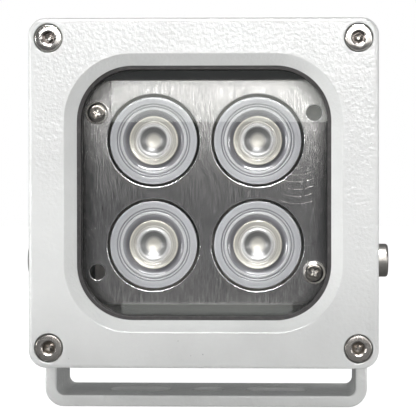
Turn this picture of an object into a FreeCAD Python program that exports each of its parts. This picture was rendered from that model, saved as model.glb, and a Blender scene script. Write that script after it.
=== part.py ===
import FreeCAD, Part

import math
import os

from FreeCAD import Vector

# White light illuminator on a folded bracket.
# Millimetres. +Z is up, the front faces -Y, and the origin is the middle of the bracket's underside.
# A depth is a distance behind the front face of the bezel.

# Lenses
lens_diameter = 23.0
lens_spacing = 4.5
lens_height = 12.2
lens_flange = 1.6
lens_flange_width = 1.2
lens_rim_width = 2.3
lens_groove_width = 1.0
lens_annulus_width = 1.8
lens_slit_width = 0.5
lens_step = 0.5
lens_groove_step = 0.5
lens_disc_recess = 0.3
lens_bowl_r = 3.6
lens_bowl_depth = 1.4
lens_bead_width = 0.8
lens_bead_rise = 0.25
lens_dome = 1.0
lens_waist_inset = 3.1
lens_foot_r = 4.8
lens_foot_clearance = 0.6
lens_pocket_r = 3.0
lens_pocket_depth = 4.0

# Lens holders
holder_fit = 0.2
holder_wall = 0.8
holder_floor = 1.0
holder_foot_clearance = 0.6
holder_slot_width = 6.0
holder_slots = 3
holder_slot_margin = 2.2

# Mask plate and its spacers
mask_gap = 3.5
mask_thickness = 1.0
mask_margin = 3.5
mask_side_clearance = 0.3
lens_hole_gap = 0.75
lens_front_recess = 0.3
mask_screw_side = 14.85
mask_screw_rise = 7.25
mask_hole_r = 2.05
mask_edge_r = 0.2
spacer_across_flats = 5.0
spacer_thread_depth = 8.5

# Circuit boards, carrier plate and LEDs
board_margin = 2.2
board_thickness = 1.6
board_corner_r = 7.0
board_clearance = 3.2
board_hole_clearance = 0.15
carrier_thickness = 2.5
carrier_screw_side = 5.8
carrier_screw_rise = 3.3
carrier_post_r = 3.6
carrier_post_thread = 8.0
led_base = 3.45
led_base_height = 0.6
led_dome_r = 1.5
link_window_x = 8.0
link_window_z = 5.0
link_pin_r = 0.4
link_pin_pitch = 2.54
driver_gap = 6.5
driver_board_x = 50.0
driver_board_z = 42.0
driver_corner_r = 2.0
driver_screw_inset = 4.0
driver_post_r = 3.0
driver_post_height = 3.8
driver_thread_spare = 0.8

# Driver components: x and z from the board's middle
coil_x = -11.0
coil_z = 8.0
coil_r = 5.0
coil_height = 5.0
coil_flange = 0.9
coil_waist = 0.7
capacitor_x = 11.0
capacitor_z = 8.5
capacitor_r = 3.15
capacitor_height = 5.6
capacitor_spacing = 1.3
capacitor_edge_r = 0.5
chip_x = -10.0
chip_z = -6.0
chip_width = 6.0
chip_depth = 5.0
chip_height = 1.6
chip_chamfer = 0.3
terminal_x = 4.0
terminal_z = -15.5
terminal_width = 10.4
terminal_reach = 6.5
terminal_height = 6.0
terminal_hole_r = 1.4
terminal_pitch = 5.0
terminal_hole_depth = 4.5
terminal_screw_depth = 1.5

# Front bezel
cavity_step = 1.1
window_inner_r = 14.4
window_slope_width = 2.85
window_slope_depth = 3.6
window_land = 0.4
window_edge_r = 0.35
frame_width = 9.25
face_corner_r = 4.5
face_edge_r = 1.2
bezel_depth = 6.0
cover_screw_inset = 5.2
cover_head_recess = 0.3
cover_bore_clearance = 0.25
cover_hole_clearance = 0.2

# Glass pane and its rubber channel
glass_cover = 2.1
glass_thickness = 3.0
gasket_wall = 1.0
gasket_lip = 0.7
gasket_show = 0.9
gasket_clearance = 0.3

# Rear housing
flange_thickness = 4.4
body_wall = 4.0
body_corner_r = 8.0
body_edge_r = 2.0
rear_wall = 3.0
post_root = 0.5
fin_height = 8.0
fin_pitch = 6.0
fin_margin = 5.0
fin_root = 2.4
fin_tip = 1.6
fin_inset = 3.0
fin_clear_r = 13.0
pad_r = 10.0
pad_height = 2.5

# Seal between bezel and rear housing
seal_width = 2.0
seal_height = 1.6
seal_side_clearance = 0.1
seal_land = 2.0

# Metric screws: shank radius, head radius, head height, key size
m3_r = 1.5
m3_head_r = 2.75
m3_head_height = 1.9
m3_pan_head_r = 3.0
m4_r = 2.0
m4_head_r = 3.5
m4_head_height = 4.0
m4_key = 3.0
m4_key_depth = 2.0
m5_r = 2.5
m5_head_r = 4.5
m5_head_height = 5.0
m5_key = 4.0
m5_key_depth = 2.5
screw_edge = 0.4
socket_mouth_depth = 0.6
thread_clearance = 0.03
cross_length = 3.0
cross_width = 0.75
cross_depth = 1.2
cover_screw_length = 6.0
mask_screw_length = 8.0
carrier_screw_length = 10.0
driver_screw_length = 5.0

# Bracket
bracket_thickness = 3.0
bracket_depth = 26.0
bracket_bend_r = 2.0
bracket_edge_r = 0.5
arm_straight = 1.5
arm_taper_r = 12.0
arm_end_r = 10.0
arm_gap = 2.4
base_clearance = 8.7
slot_width = 8.0
slot_length = 16.0
slot_pitch = 37.0
slot_edge_r = 0.6
centre_hole_r = 4.0

# Tilt pivot
pivot_below_centre = 18.5
pivot_clearance = 0.08
pivot_boss_r = 7.0
pivot_boss_rise = 0.8
pivot_boss_wall = 0.8
pivot_hole_spare = 0.8
pivot_bolt_length = 10.0
pivot_washer = 0.8
pivot_washer_r = 6.0
pivot_washer_clearance = 0.1
spring_washer = 1.2
spring_washer_r = 4.3
spring_washer_split = 0.8

# Cable gland
gland_thread_r = 6.0
gland_hex = 15.0
gland_hex_height = 4.0
gland_ring_thickness = 0.8
gland_ring_r = 8.0
gland_ring_clearance = 0.1
gland_bore_r = 4.2
gland_neck_length = 6.0
gland_seal_r = 5.0
gland_seal_bore_r = 3.0
gland_seal_length = 7.0
gland_seal_clearance = 0.05
gland_seal_proud = 1.6
gland_nut_gap = 0.4
gland_nut_hex_height = 5.6
gland_nut_shoulder = 0.3
gland_nut_dome = 4.6
gland_nut_bulge = 0.7
gland_nut_mouth_r = 4.1
gland_nut_lip = 1.6

# Tolerance for edges that lie in one plane
flat_tolerance = 1e-4

# Sizes across the light, from the lenses outwards
lens_r = lens_diameter / 2
lens_neck_r = lens_r - lens_flange_width
lens_pitch = lens_diameter + lens_spacing
lens_hole_r = lens_r + lens_hole_gap
mask_screw_x = lens_pitch / 2 + mask_screw_side
mask_screw_z = lens_pitch / 2 + mask_screw_rise
mask_height = 2 * (lens_pitch / 2 + lens_hole_r + mask_margin)
board_size = 2 * (mask_screw_x + board_margin)
cavity_size = board_size + 2 * board_clearance
cavity_r = window_inner_r + cavity_step
mask_width = cavity_size - 2 * mask_side_clearance
body_size = cavity_size + 2 * body_wall
window_inner = cavity_size - 2 * cavity_step
window_outer = window_inner + 2 * window_slope_width
glass_size = window_inner + 2 * glass_cover
glass_corner_r = window_inner_r + glass_cover
gasket_size = glass_size + 2 * gasket_wall
gasket_corner_r = glass_corner_r + gasket_wall
gasket_opening = window_inner - 2 * gasket_show
recess_size = gasket_size + 2 * gasket_clearance
recess_r = gasket_corner_r + gasket_clearance
face_size = window_outer + 2 * frame_width
cover_screw_pitch = face_size - 2 * cover_screw_inset
carrier_screw_x = board_size / 2 - carrier_screw_side
carrier_screw_z = board_size / 2 - carrier_screw_rise
driver_screw_x = driver_board_x / 2 - driver_screw_inset
driver_screw_z = driver_board_z / 2 - driver_screw_inset
capacitor_pitch = 2 * capacitor_r + capacitor_spacing
fin_count = round((body_size - 2 * fin_margin) / fin_pitch) + 1

# Depths behind the front face, from the front backwards
gasket_shelf_depth = window_slope_depth + window_land
glass_depth = gasket_shelf_depth + gasket_lip
gasket_back = glass_depth + glass_thickness + gasket_lip
mask_depth = gasket_back + mask_gap
mask_back = mask_depth + mask_thickness
lens_front = mask_depth + lens_front_recess
lens_flange_back = lens_front + lens_flange
lens_foot = lens_front + lens_height
led_board_depth = lens_foot + lens_foot_clearance
carrier_depth = led_board_depth + board_thickness
carrier_back = carrier_depth + carrier_thickness
driver_board_depth = carrier_back + driver_gap
driver_board_back = driver_board_depth + board_thickness
cavity_floor_depth = driver_board_back + driver_post_height
wall_back = cavity_floor_depth + rear_wall
cover_bore_depth = m4_head_height + cover_head_recess
flange_back = bezel_depth + flange_thickness
pivot_depth = flange_back + arm_gap + bracket_depth / 2
gland_front = wall_back + pad_height
gland_hex_front = gland_front + gland_ring_thickness
gland_hex_back = gland_hex_front + gland_hex_height
gland_neck_back = gland_hex_back + gland_neck_length
gland_seal_back = gland_neck_back + gland_seal_proud
gland_seal_front = gland_seal_back - gland_seal_length

# Pivot and bracket, from the housing outwards
boss_face = body_size / 2 + pivot_boss_rise
arm_inner = boss_face + pivot_washer
arm_outer = arm_inner + bracket_thickness
bolt_seat = arm_outer + spring_washer
pivot_hole_end = bolt_seat - pivot_bolt_length - pivot_hole_spare
pivot_washer_bore_r = m5_r + pivot_washer_clearance
front_y = -pivot_depth
pivot_z = bracket_thickness + base_clearance + face_size / 2 - pivot_below_centre
centre_z = pivot_z + pivot_below_centre

# Holes for threads, and where lenses and screws go
thread_r = {"m3": m3_r + thread_clearance, "m4": m4_r + thread_clearance, "m5": m5_r + thread_clearance}
corners = [(-1, 1), (1, 1), (-1, -1), (1, -1)]
lens_places = [(x * lens_pitch / 2, z * lens_pitch / 2) for x, z in corners]
cover_screw_places = [(x * cover_screw_pitch / 2, z * cover_screw_pitch / 2) for x, z in corners]
mask_hole_places = [(x * mask_screw_x, z * mask_screw_z) for x, z in corners]
mask_screw_places = [(-mask_screw_x, mask_screw_z), (mask_screw_x, -mask_screw_z)]
carrier_screw_places = [(x * carrier_screw_x, z * carrier_screw_z) for x, z in corners]
driver_screw_places = [(x * driver_screw_x, z * driver_screw_z) for x, z in corners]


def at(x, depth, z):
    """Point of the head: x to the right, depth behind the front face, z above the head's centre."""
    return Vector(x, front_y + depth, centre_z + z)


def outline(width, height, corner_r, depth):
    """Closed rounded rectangle, square to the light's direction."""
    half_x = width / 2
    half_z = height / 2
    diagonal = corner_r * (1 - math.sqrt(0.5))
    round_corners = [(1, 1), (-1, 1), (-1, -1), (1, -1)]
    edges = []
    ends = []
    for turn, (side_x, side_z) in enumerate(round_corners):
        on_side = at(side_x * half_x, depth, side_z * (half_z - corner_r))
        on_end = at(side_x * (half_x - corner_r), depth, side_z * half_z)
        middle = at(side_x * (half_x - diagonal), depth, side_z * (half_z - diagonal))
        first, last = (on_side, on_end) if turn % 2 == 0 else (on_end, on_side)
        edges.append(Part.Arc(first, middle, last).toShape())
        ends.append((first, last))
    for turn in range(len(ends)):
        edges.append(Part.makeLine(ends[turn][1], ends[(turn + 1) % len(ends)][0]))
    return Part.Wire(Part.__sortEdges__(edges))


def slab(width, height, corner_r, front, back):
    """Rounded rectangular block between two depths."""
    face = Part.Face(outline(width, height, corner_r, front))
    return face.extrude(Vector(0, back - front, 0))


def rod(radius, x, z, front, back):
    """Cylinder along the light's direction between two depths."""
    return Part.makeCylinder(radius, back - front, at(x, front, z), Vector(0, 1, 0))


def cross_rod(radius, start_x, end_x):
    """Cylinder along the pivot axis between two x values."""
    start = Vector(min(start_x, end_x), 0, pivot_z)
    return Part.makeCylinder(radius, abs(end_x - start_x), start, Vector(1, 0, 0))


def block(x, z, width, height, front, back):
    """Sharp-edged block centred on x and z, between two depths."""
    return Part.makeBox(width, back - front, height, at(x - width / 2, front, z - height / 2))


def hexagon(across_flats, x, z, front, back):
    """Hexagonal bar along the light's direction."""
    reach = across_flats / math.sqrt(3)
    points = [
        at(x + reach * math.cos(math.radians(60 * i)), front, z + reach * math.sin(math.radians(60 * i)))
        for i in range(7)
    ]
    return Part.Face(Part.makePolygon(points)).extrude(Vector(0, back - front, 0))


def turned(steps, x, z):
    """Solid turned about an axis along the light's direction.

    A step is a point (radius, depth), or two points for an arc: the one it passes and the one it ends at.
    """
    def point(pair):
        return Vector(pair[0], front_y + pair[1], 0)

    here = point(steps[0])
    edges = []
    for step in steps[1:] + steps[:1]:
        if isinstance(step[0], tuple):
            passes, ends = point(step[0]), point(step[1])
            edges.append(Part.Arc(here, passes, ends).toShape())
            here = ends
        elif point(step) != here:
            edges.append(Part.makeLine(here, point(step)))
            here = point(step)
    profile = Part.Face(Part.Wire(edges))
    solid = profile.revolve(Vector(0, 0, 0), Vector(0, 1, 0), 360)
    solid.translate(Vector(x, 0, centre_z + z))
    return solid


def cap_point(radius, apex, rim):
    """Point half way out on a spherical cap whose top lies on the axis."""
    ball_r = (radius**2 + (rim - apex) ** 2) / (2 * (rim - apex))
    half = radius / 2
    return half, apex + ball_r - math.copysign(math.sqrt(ball_r**2 - half**2), ball_r)


def joined(shapes):
    """One solid from shapes that meet."""
    first, *others = shapes
    return first.fuse(others).removeSplitter()


def group(shapes):
    """Separate solids kept in one sub-part."""
    return Part.makeCompound([solid for shape in shapes for solid in shape.Solids])


def edges_in_plane(shape, depth, inside, outside):
    """Edges that lie at one depth, with every point's larger offset from the centre between two limits."""
    y = front_y + depth

    def reach(point):
        return max(abs(point.x), abs(point.z - centre_z))

    chosen = []
    for edge in shape.Edges:
        box = edge.BoundBox
        flat = abs(box.YMin - y) < flat_tolerance and abs(box.YMax - y) < flat_tolerance
        middle = edge.valueAt((edge.FirstParameter + edge.LastParameter) / 2)
        if flat and inside < reach(middle) < outside:
            chosen.append(edge)
    return chosen


def front_bezel():
    """Square front frame: rounded outer edge, sloped window, four counterbores, shelf for the gasket."""
    frame = slab(face_size, face_size, face_corner_r, 0, bezel_depth)
    frame = frame.makeFillet(face_edge_r, edges_in_plane(frame, 0, 0, face_size))
    window = Part.makeLoft(
        [
            outline(window_outer, window_outer, window_inner_r + window_slope_width, 0),
            outline(window_inner, window_inner, window_inner_r, window_slope_depth),
        ],
        True,
        True,
    )
    passage = slab(window_inner, window_inner, window_inner_r, window_slope_depth, bezel_depth)
    recess = slab(recess_size, recess_size, recess_r, gasket_shelf_depth, bezel_depth)
    frame = frame.cut([window, passage, recess])
    bores = [rod(m4_head_r + cover_bore_clearance, x, z, 0, cover_bore_depth) for x, z in cover_screw_places]
    holes = [rod(m4_r + cover_hole_clearance, x, z, 0, bezel_depth) for x, z in cover_screw_places]
    frame = frame.cut(bores + holes)
    rims = edges_in_plane(frame, 0, 0, (face_size - face_edge_r) / 2)
    rims += edges_in_plane(frame, window_slope_depth, 0, face_size)
    return frame.makeFillet(window_edge_r, rims)


def glass_gasket():
    """Rubber channel round the pane's edge."""
    ring = slab(gasket_size, gasket_size, gasket_corner_r, gasket_shelf_depth, gasket_back)
    opening_r = window_inner_r - gasket_show
    opening = slab(gasket_opening, gasket_opening, opening_r, gasket_shelf_depth, gasket_back)
    pane = slab(glass_size, glass_size, glass_corner_r, glass_depth, glass_depth + glass_thickness)
    return ring.cut([opening, pane])


def glass_pane():
    """Flat toughened pane with rounded corners."""
    return slab(glass_size, glass_size, glass_corner_r, glass_depth, glass_depth + glass_thickness)


def seal_ring(grow):
    """Square ring of the seal, or of its groove when grown by the side clearance."""
    inner_gap = seal_land - grow
    outer_gap = seal_land + seal_width + grow
    inner_size = recess_size + 2 * inner_gap
    outer_size = recess_size + 2 * outer_gap
    back = bezel_depth + seal_height
    outside = slab(outer_size, outer_size, recess_r + outer_gap, bezel_depth, back)
    return outside.cut(slab(inner_size, inner_size, recess_r + inner_gap, bezel_depth, back))


def fins():
    """Upright cooling fins with draft, sloped at their ends and cleared round the gland's pad."""
    bars = []
    for number in range(fin_count):
        x = (number - (fin_count - 1) / 2) * fin_pitch
        section = [
            at(x - fin_root / 2, wall_back, -body_size / 2),
            at(x + fin_root / 2, wall_back, -body_size / 2),
            at(x + fin_tip / 2, wall_back + fin_height, -body_size / 2),
            at(x - fin_tip / 2, wall_back + fin_height, -body_size / 2),
        ]
        face = Part.Face(Part.makePolygon(section + section[:1]))
        bars.append(face.extrude(Vector(0, 0, body_size)))
    root_size = body_size - 2 * body_edge_r
    tip_size = root_size - 2 * fin_inset
    envelope = Part.makeLoft(
        [
            outline(root_size, root_size, body_corner_r, wall_back),
            outline(tip_size, tip_size, body_corner_r, wall_back + fin_height),
        ],
        True,
        True,
    )
    clearing = rod(fin_clear_r, 0, 0, wall_back, wall_back + fin_height)
    return [bar.common(envelope).cut(clearing) for bar in bars]


def rear_housing():
    """Cast rear body: flange, seal groove, cavity, posts, pivot bosses, finned rear wall and gland pad."""
    flange = slab(face_size, face_size, face_corner_r, bezel_depth, flange_back)
    body = slab(body_size, body_size, body_corner_r, bezel_depth, wall_back)
    body = body.makeFillet(body_edge_r, edges_in_plane(body, wall_back, 0, face_size))
    bosses = [cross_rod(pivot_boss_r, side * pivot_hole_end, side * boss_face) for side in (-1, 1)]
    pad = rod(pad_r, 0, 0, wall_back, wall_back + pad_height)
    shell = joined([flange, body, pad] + bosses + fins())

    recess = slab(recess_size, recess_size, recess_r, bezel_depth, gasket_back)
    cavity = slab(cavity_size, cavity_size, cavity_r, bezel_depth, cavity_floor_depth)
    kept = [
        cross_rod(pivot_boss_r, side * (pivot_hole_end - pivot_boss_wall), side * body_size / 2)
        for side in (-1, 1)
    ]
    shell = shell.cut([recess, cavity.cut(kept), seal_ring(seal_side_clearance)])

    carrier_posts = [
        rod(carrier_post_r, x, z, carrier_back, cavity_floor_depth + post_root)
        for x, z in carrier_screw_places
    ]
    driver_posts = [
        rod(driver_post_r, x, z, driver_board_back, cavity_floor_depth + post_root)
        for x, z in driver_screw_places
    ]
    shell = joined([shell] + carrier_posts + driver_posts)

    holes = [rod(thread_r["m4"], x, z, bezel_depth, flange_back) for x, z in cover_screw_places]
    holes += [
        rod(thread_r["m3"], x, z, carrier_back, carrier_back + carrier_post_thread)
        for x, z in carrier_screw_places
    ]
    driver_hole_end = driver_board_depth + driver_screw_length + driver_thread_spare
    holes += [rod(thread_r["m3"], x, z, driver_board_back, driver_hole_end) for x, z in driver_screw_places]
    holes += [cross_rod(thread_r["m5"], side * pivot_hole_end, side * boss_face) for side in (-1, 1)]
    holes.append(rod(gland_thread_r + thread_clearance, 0, 0, cavity_floor_depth, gland_front))
    return shell.cut(holes)


def cover_seal():
    """Rubber ring pressed between bezel and housing."""
    return seal_ring(0)


def socket_screw(head_r, head_height, shank_r, length, key, key_depth):
    """Socket-head screw along +Y, seated with the head's underside at the origin."""
    head = Part.makeCylinder(head_r, head_height, Vector(0, -head_height, 0), Vector(0, 1, 0))
    rim = [edge for edge in head.Edges if edge.BoundBox.YMax < -head_height + flat_tolerance]
    head = head.makeFillet(screw_edge, rim)
    reach = key / math.sqrt(3)
    points = [
        Vector(reach * math.cos(math.radians(60 * i)), -head_height, reach * math.sin(math.radians(60 * i)))
        for i in range(7)
    ]
    socket = Part.Face(Part.makePolygon(points)).extrude(Vector(0, key_depth, 0))
    mouth = Part.makeCone(reach, key / 2, socket_mouth_depth, Vector(0, -head_height, 0), Vector(0, 1, 0))
    shank = Part.makeCylinder(shank_r, length, Vector(0, 0, 0), Vector(0, 1, 0))
    return joined([head, shank]).cut([socket, mouth])


def pan_screw(head_r, shank_r, length):
    """Cross-recessed pan-head screw along +Y, seated with the head's underside at the origin."""
    head = Part.makeCylinder(head_r, m3_head_height, Vector(0, -m3_head_height, 0), Vector(0, 1, 0))
    rim = [edge for edge in head.Edges if edge.BoundBox.YMax < -m3_head_height + flat_tolerance]
    head = head.makeFillet(m3_head_height / 2, rim)
    arms = [
        Part.makeBox(
            length_x, cross_depth, length_z, Vector(-length_x / 2, -m3_head_height, -length_z / 2)
        )
        for length_x, length_z in ((cross_length, cross_width), (cross_width, cross_length))
    ]
    shank = Part.makeCylinder(shank_r, length, Vector(0, 0, 0), Vector(0, 1, 0))
    return joined([head, shank]).cut(arms)


def screws_at(screw, places, depth):
    """Copies of a screw with their heads seated at one depth."""
    copies = []
    for x, z in places:
        copy = screw.copy()
        copy.translate(at(x, depth, z))
        copies.append(copy)
    return group(copies)


def cover_screws():
    """Four socket-head screws that hold the bezel."""
    screw = socket_screw(m4_head_r, m4_head_height, m4_r, cover_screw_length, m4_key, m4_key_depth)
    return screws_at(screw, cover_screw_places, cover_bore_depth)


def mask_plate():
    """Brushed plate behind the glass, with lens holes and four fixing holes."""
    plate = slab(mask_width, mask_width, cavity_r - mask_side_clearance, mask_depth, mask_back)
    plate = plate.common(block(0, 0, mask_width, mask_height, mask_depth, mask_back))
    lens_holes = [rod(lens_hole_r, x, z, mask_depth, mask_back) for x, z in lens_places]
    small_holes = [rod(mask_hole_r, x, z, mask_depth, mask_back) for x, z in mask_hole_places]
    plate = plate.cut(lens_holes + small_holes)
    front = edges_in_plane(plate, mask_depth, 0, mask_width)
    return plate.makeFillet(mask_edge_r, [edge for edge in front if edge.isClosed()])


def mask_screws():
    """Two pan-head screws through the mask plate."""
    return screws_at(pan_screw(m3_pan_head_r, m3_r, mask_screw_length), mask_screw_places, mask_depth)


def mask_spacers():
    """Hexagonal spacers with a threaded bore in front and a stud behind."""
    spacers = []
    for x, z in mask_screw_places:
        bar = hexagon(spacer_across_flats, x, z, mask_back, led_board_depth)
        stud = rod(m3_r, x, z, led_board_depth, carrier_back)
        bore = rod(thread_r["m3"], x, z, mask_back, mask_back + spacer_thread_depth)
        spacers.append(joined([bar, stud]).cut(bore))
    return group(spacers)


def lens(x, z):
    """Collimator lens: flange, stepped front with a hollow centre, curved reflector flank, LED pocket."""
    ring_r = lens_r - lens_rim_width
    groove_r = ring_r - lens_groove_width
    disc_r = groove_r - lens_annulus_width
    step = lens_front + lens_step
    groove = step + lens_groove_step
    disc = lens_front + lens_disc_recess
    bowl = disc + lens_bowl_depth
    bead_r = lens_bowl_r + lens_bead_width
    pocket = lens_foot - lens_pocket_depth
    halfway = (lens_flange_back + lens_foot) / 2
    steps = [
        (0, bowl),
        (cap_point(lens_bowl_r, bowl, disc), (lens_bowl_r, disc)),
        ((lens_bowl_r + lens_bead_width / 2, disc - lens_bead_rise), (bead_r, disc)),
        (disc_r, disc),
        (disc_r, groove),
        (disc_r + lens_slit_width, groove),
        (disc_r + lens_slit_width, step),
        (groove_r, step),
        (groove_r, groove),
        (ring_r, groove),
        (ring_r, lens_front),
        (lens_r, lens_front),
        (lens_r, lens_flange_back),
        (lens_neck_r, lens_flange_back),
        ((lens_r - lens_waist_inset, halfway), (lens_foot_r, lens_foot)),
        (lens_pocket_r, lens_foot),
        (lens_pocket_r, pocket),
        (cap_point(lens_pocket_r, pocket + lens_dome, pocket), (0, pocket + lens_dome)),
    ]
    return turned(steps, x, z)


def lens_holder(x, z):
    """Moulded cup that carries the lens flange over the LED, with slots between its legs."""
    inner = lens_neck_r + holder_fit
    outer = inner + holder_wall
    foot_hole = lens_foot_r + holder_foot_clearance
    floor = led_board_depth - holder_floor
    slot_front = lens_flange_back + holder_slot_margin
    cup = rod(outer, x, z, lens_flange_back, led_board_depth)
    cup = cup.cut([rod(inner, x, z, lens_flange_back, floor), rod(foot_hole, x, z, floor, led_board_depth)])
    for number in range(holder_slots):
        slot = Part.makeBox(
            outer,
            floor - slot_front,
            holder_slot_width,
            Vector(foot_hole, slot_front, -holder_slot_width / 2),
        )
        slot.rotate(Vector(0, 0, 0), Vector(0, 1, 0), 360 / holder_slots * number + 90)
        slot.translate(at(x, 0, z))
        cup = cup.cut(slot)
    return cup


def led(x, z):
    """LED package: square base under a clear dome."""
    top = led_board_depth - led_base_height
    base = block(x, z, led_base, led_base, top, led_board_depth)
    dome = Part.makeSphere(led_dome_r, at(x, top, z))
    dome = dome.common(block(x, z, led_base, led_base, top - led_dome_r, top))
    return joined([base, dome])


def board_outline(front, back):
    """Rounded square shared by the LED board and the carrier plate."""
    return slab(board_size, board_size, board_corner_r, front, back)


def led_board():
    """Aluminium-core board with holes for its screws and the spacer studs."""
    hole_r = m3_r + board_hole_clearance
    places = carrier_screw_places + mask_screw_places
    holes = [rod(hole_r, x, z, led_board_depth, carrier_depth) for x, z in places]
    return board_outline(led_board_depth, carrier_depth).cut(holes)


def carrier_plate():
    """Thick aluminium plate behind the LED board, threaded for the spacer studs."""
    plate = board_outline(carrier_depth, carrier_back)
    hole_r = m3_r + board_hole_clearance
    holes = [rod(hole_r, x, z, carrier_depth, carrier_back) for x, z in carrier_screw_places]
    holes += [rod(thread_r["m3"], x, z, carrier_depth, carrier_back) for x, z in mask_screw_places]
    window = block(0, 0, link_window_x, link_window_z, carrier_depth, carrier_back)
    return plate.cut(holes + [window])


def carrier_screws():
    """Screws through board and carrier plate into the housing's posts."""
    return screws_at(pan_screw(m3_head_r, m3_r, carrier_screw_length), carrier_screw_places, led_board_depth)


def link_pins():
    """Pins that join the driver board to the LED board through the carrier plate's window."""
    pins = [
        rod(link_pin_r, side * link_pin_pitch / 2, 0, carrier_depth, driver_board_depth)
        for side in (-1, 1)
    ]
    return group(pins)


def driver_board():
    """Driver board on its four short posts."""
    board = slab(driver_board_x, driver_board_z, driver_corner_r, driver_board_depth, driver_board_back)
    hole_r = m3_r + board_hole_clearance
    holes = [rod(hole_r, x, z, driver_board_depth, driver_board_back) for x, z in driver_screw_places]
    return board.cut(holes)


def driver_screws():
    """Screws of the driver board."""
    return screws_at(pan_screw(m3_head_r, m3_r, driver_screw_length), driver_screw_places, driver_board_depth)


def driver_coil():
    """Drum-core choke: two flanges and a wound waist."""
    top = driver_board_depth - coil_height
    waist_front = top + coil_flange
    waist_back = driver_board_depth - coil_flange
    waist_r = coil_r - coil_waist
    steps = [
        (0, top),
        (coil_r, top),
        (coil_r, waist_front),
        (waist_r, waist_front),
        (waist_r, waist_back),
        (coil_r, waist_back),
        (coil_r, driver_board_depth),
        (0, driver_board_depth),
    ]
    return turned(steps, coil_x, coil_z)


def driver_capacitors():
    """Two can capacitors side by side."""
    top = driver_board_depth - capacitor_height
    cans = []
    for number in range(2):
        can = rod(capacitor_r, capacitor_x, capacitor_z - number * capacitor_pitch, top, driver_board_depth)
        cans.append(can.makeFillet(capacitor_edge_r, edges_in_plane(can, top, 0, face_size)))
    return group(cans)


def driver_chip():
    """Flat regulator package with chamfered top edges."""
    top = driver_board_depth - chip_height
    package = block(chip_x, chip_z, chip_width, chip_depth, top, driver_board_depth)
    return package.makeChamfer(chip_chamfer, edges_in_plane(package, top, 0, face_size))


def input_terminal():
    """Two-way terminal block, open downwards for the supply wires."""
    top = driver_board_depth - terminal_height
    case = block(terminal_x, terminal_z, terminal_width, terminal_reach, top, driver_board_depth)
    cuts = []
    for side in (-1, 1):
        x = terminal_x + side * terminal_pitch / 2
        mouth = at(x, top + terminal_height / 2, terminal_z - terminal_reach / 2)
        cuts.append(Part.makeCylinder(terminal_hole_r, terminal_hole_depth, mouth, Vector(0, 0, 1)))
        cuts.append(rod(terminal_hole_r, x, terminal_z, top, top + terminal_screw_depth))
    return case.cut(cuts)


def gland_ring():
    """Sealing ring under the gland's hexagon."""
    ring = rod(gland_ring_r, 0, 0, gland_front, gland_hex_front)
    return ring.cut(rod(gland_thread_r + gland_ring_clearance, 0, 0, gland_front, gland_hex_front))


def gland_body():
    """Gland body: thread in the housing's wall, hexagon, threaded neck with the seal's seat."""
    parts = [
        rod(gland_thread_r, 0, 0, cavity_floor_depth, gland_hex_front),
        hexagon(gland_hex, 0, 0, gland_hex_front, gland_hex_back),
        rod(gland_thread_r, 0, 0, gland_hex_back, gland_neck_back),
    ]
    bore = rod(gland_bore_r, 0, 0, cavity_floor_depth, gland_neck_back)
    seat = rod(gland_seal_r + gland_seal_clearance, 0, 0, gland_seal_front, gland_neck_back)
    return joined(parts).cut([bore, seat])


def gland_seal():
    """Rubber sleeve that grips the cable."""
    sleeve = rod(gland_seal_r, 0, 0, gland_seal_front, gland_seal_back)
    return sleeve.cut(rod(gland_seal_bore_r, 0, 0, gland_seal_front, gland_seal_back))


def gland_nut():
    """Dome nut over the neck: hexagon, rounded nose and open mouth."""
    front = gland_hex_back + gland_nut_gap
    hex_back = front + gland_nut_hex_height
    back = hex_back + gland_nut_dome
    nose_r = gland_nut_mouth_r + gland_nut_lip
    shoulder_r = gland_hex / 2 - gland_nut_shoulder
    bulge_r = nose_r + (shoulder_r - nose_r) * gland_nut_bulge
    steps = [
        (0, front),
        (shoulder_r, front),
        (shoulder_r, hex_back),
        ((bulge_r, hex_back + gland_nut_dome * gland_nut_bulge), (nose_r, back)),
        (0, back),
    ]
    nut = joined([hexagon(gland_hex, 0, 0, front, hex_back), turned(steps, 0, 0)])
    thread = rod(gland_thread_r + thread_clearance, 0, 0, front, gland_seal_back)
    return nut.cut([thread, rod(gland_nut_mouth_r, 0, 0, front, back)])


def folded_section(half_width, base_z, bend_r, top_z):
    """Upright U block: a flat base line and two sides, with its lower corners rounded."""
    diagonal = bend_r * (1 - math.sqrt(0.5))
    y = -bracket_depth / 2
    left_top = Vector(-half_width, y, top_z)
    left_bend = Vector(-half_width, y, base_z + bend_r)
    left_base = Vector(-half_width + bend_r, y, base_z)
    right_base = Vector(half_width - bend_r, y, base_z)
    right_bend = Vector(half_width, y, base_z + bend_r)
    right_top = Vector(half_width, y, top_z)
    left_middle = Vector(-half_width + diagonal, y, base_z + diagonal)
    right_middle = Vector(half_width - diagonal, y, base_z + diagonal)
    edges = [
        Part.makeLine(left_top, left_bend),
        Part.Arc(left_bend, left_middle, left_base).toShape(),
        Part.makeLine(left_base, right_base),
        Part.Arc(right_base, right_middle, right_bend).toShape(),
        Part.makeLine(right_bend, right_top),
        Part.makeLine(right_top, left_top),
    ]
    return Part.Face(Part.Wire(edges)).extrude(Vector(0, bracket_depth, 0))


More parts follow.
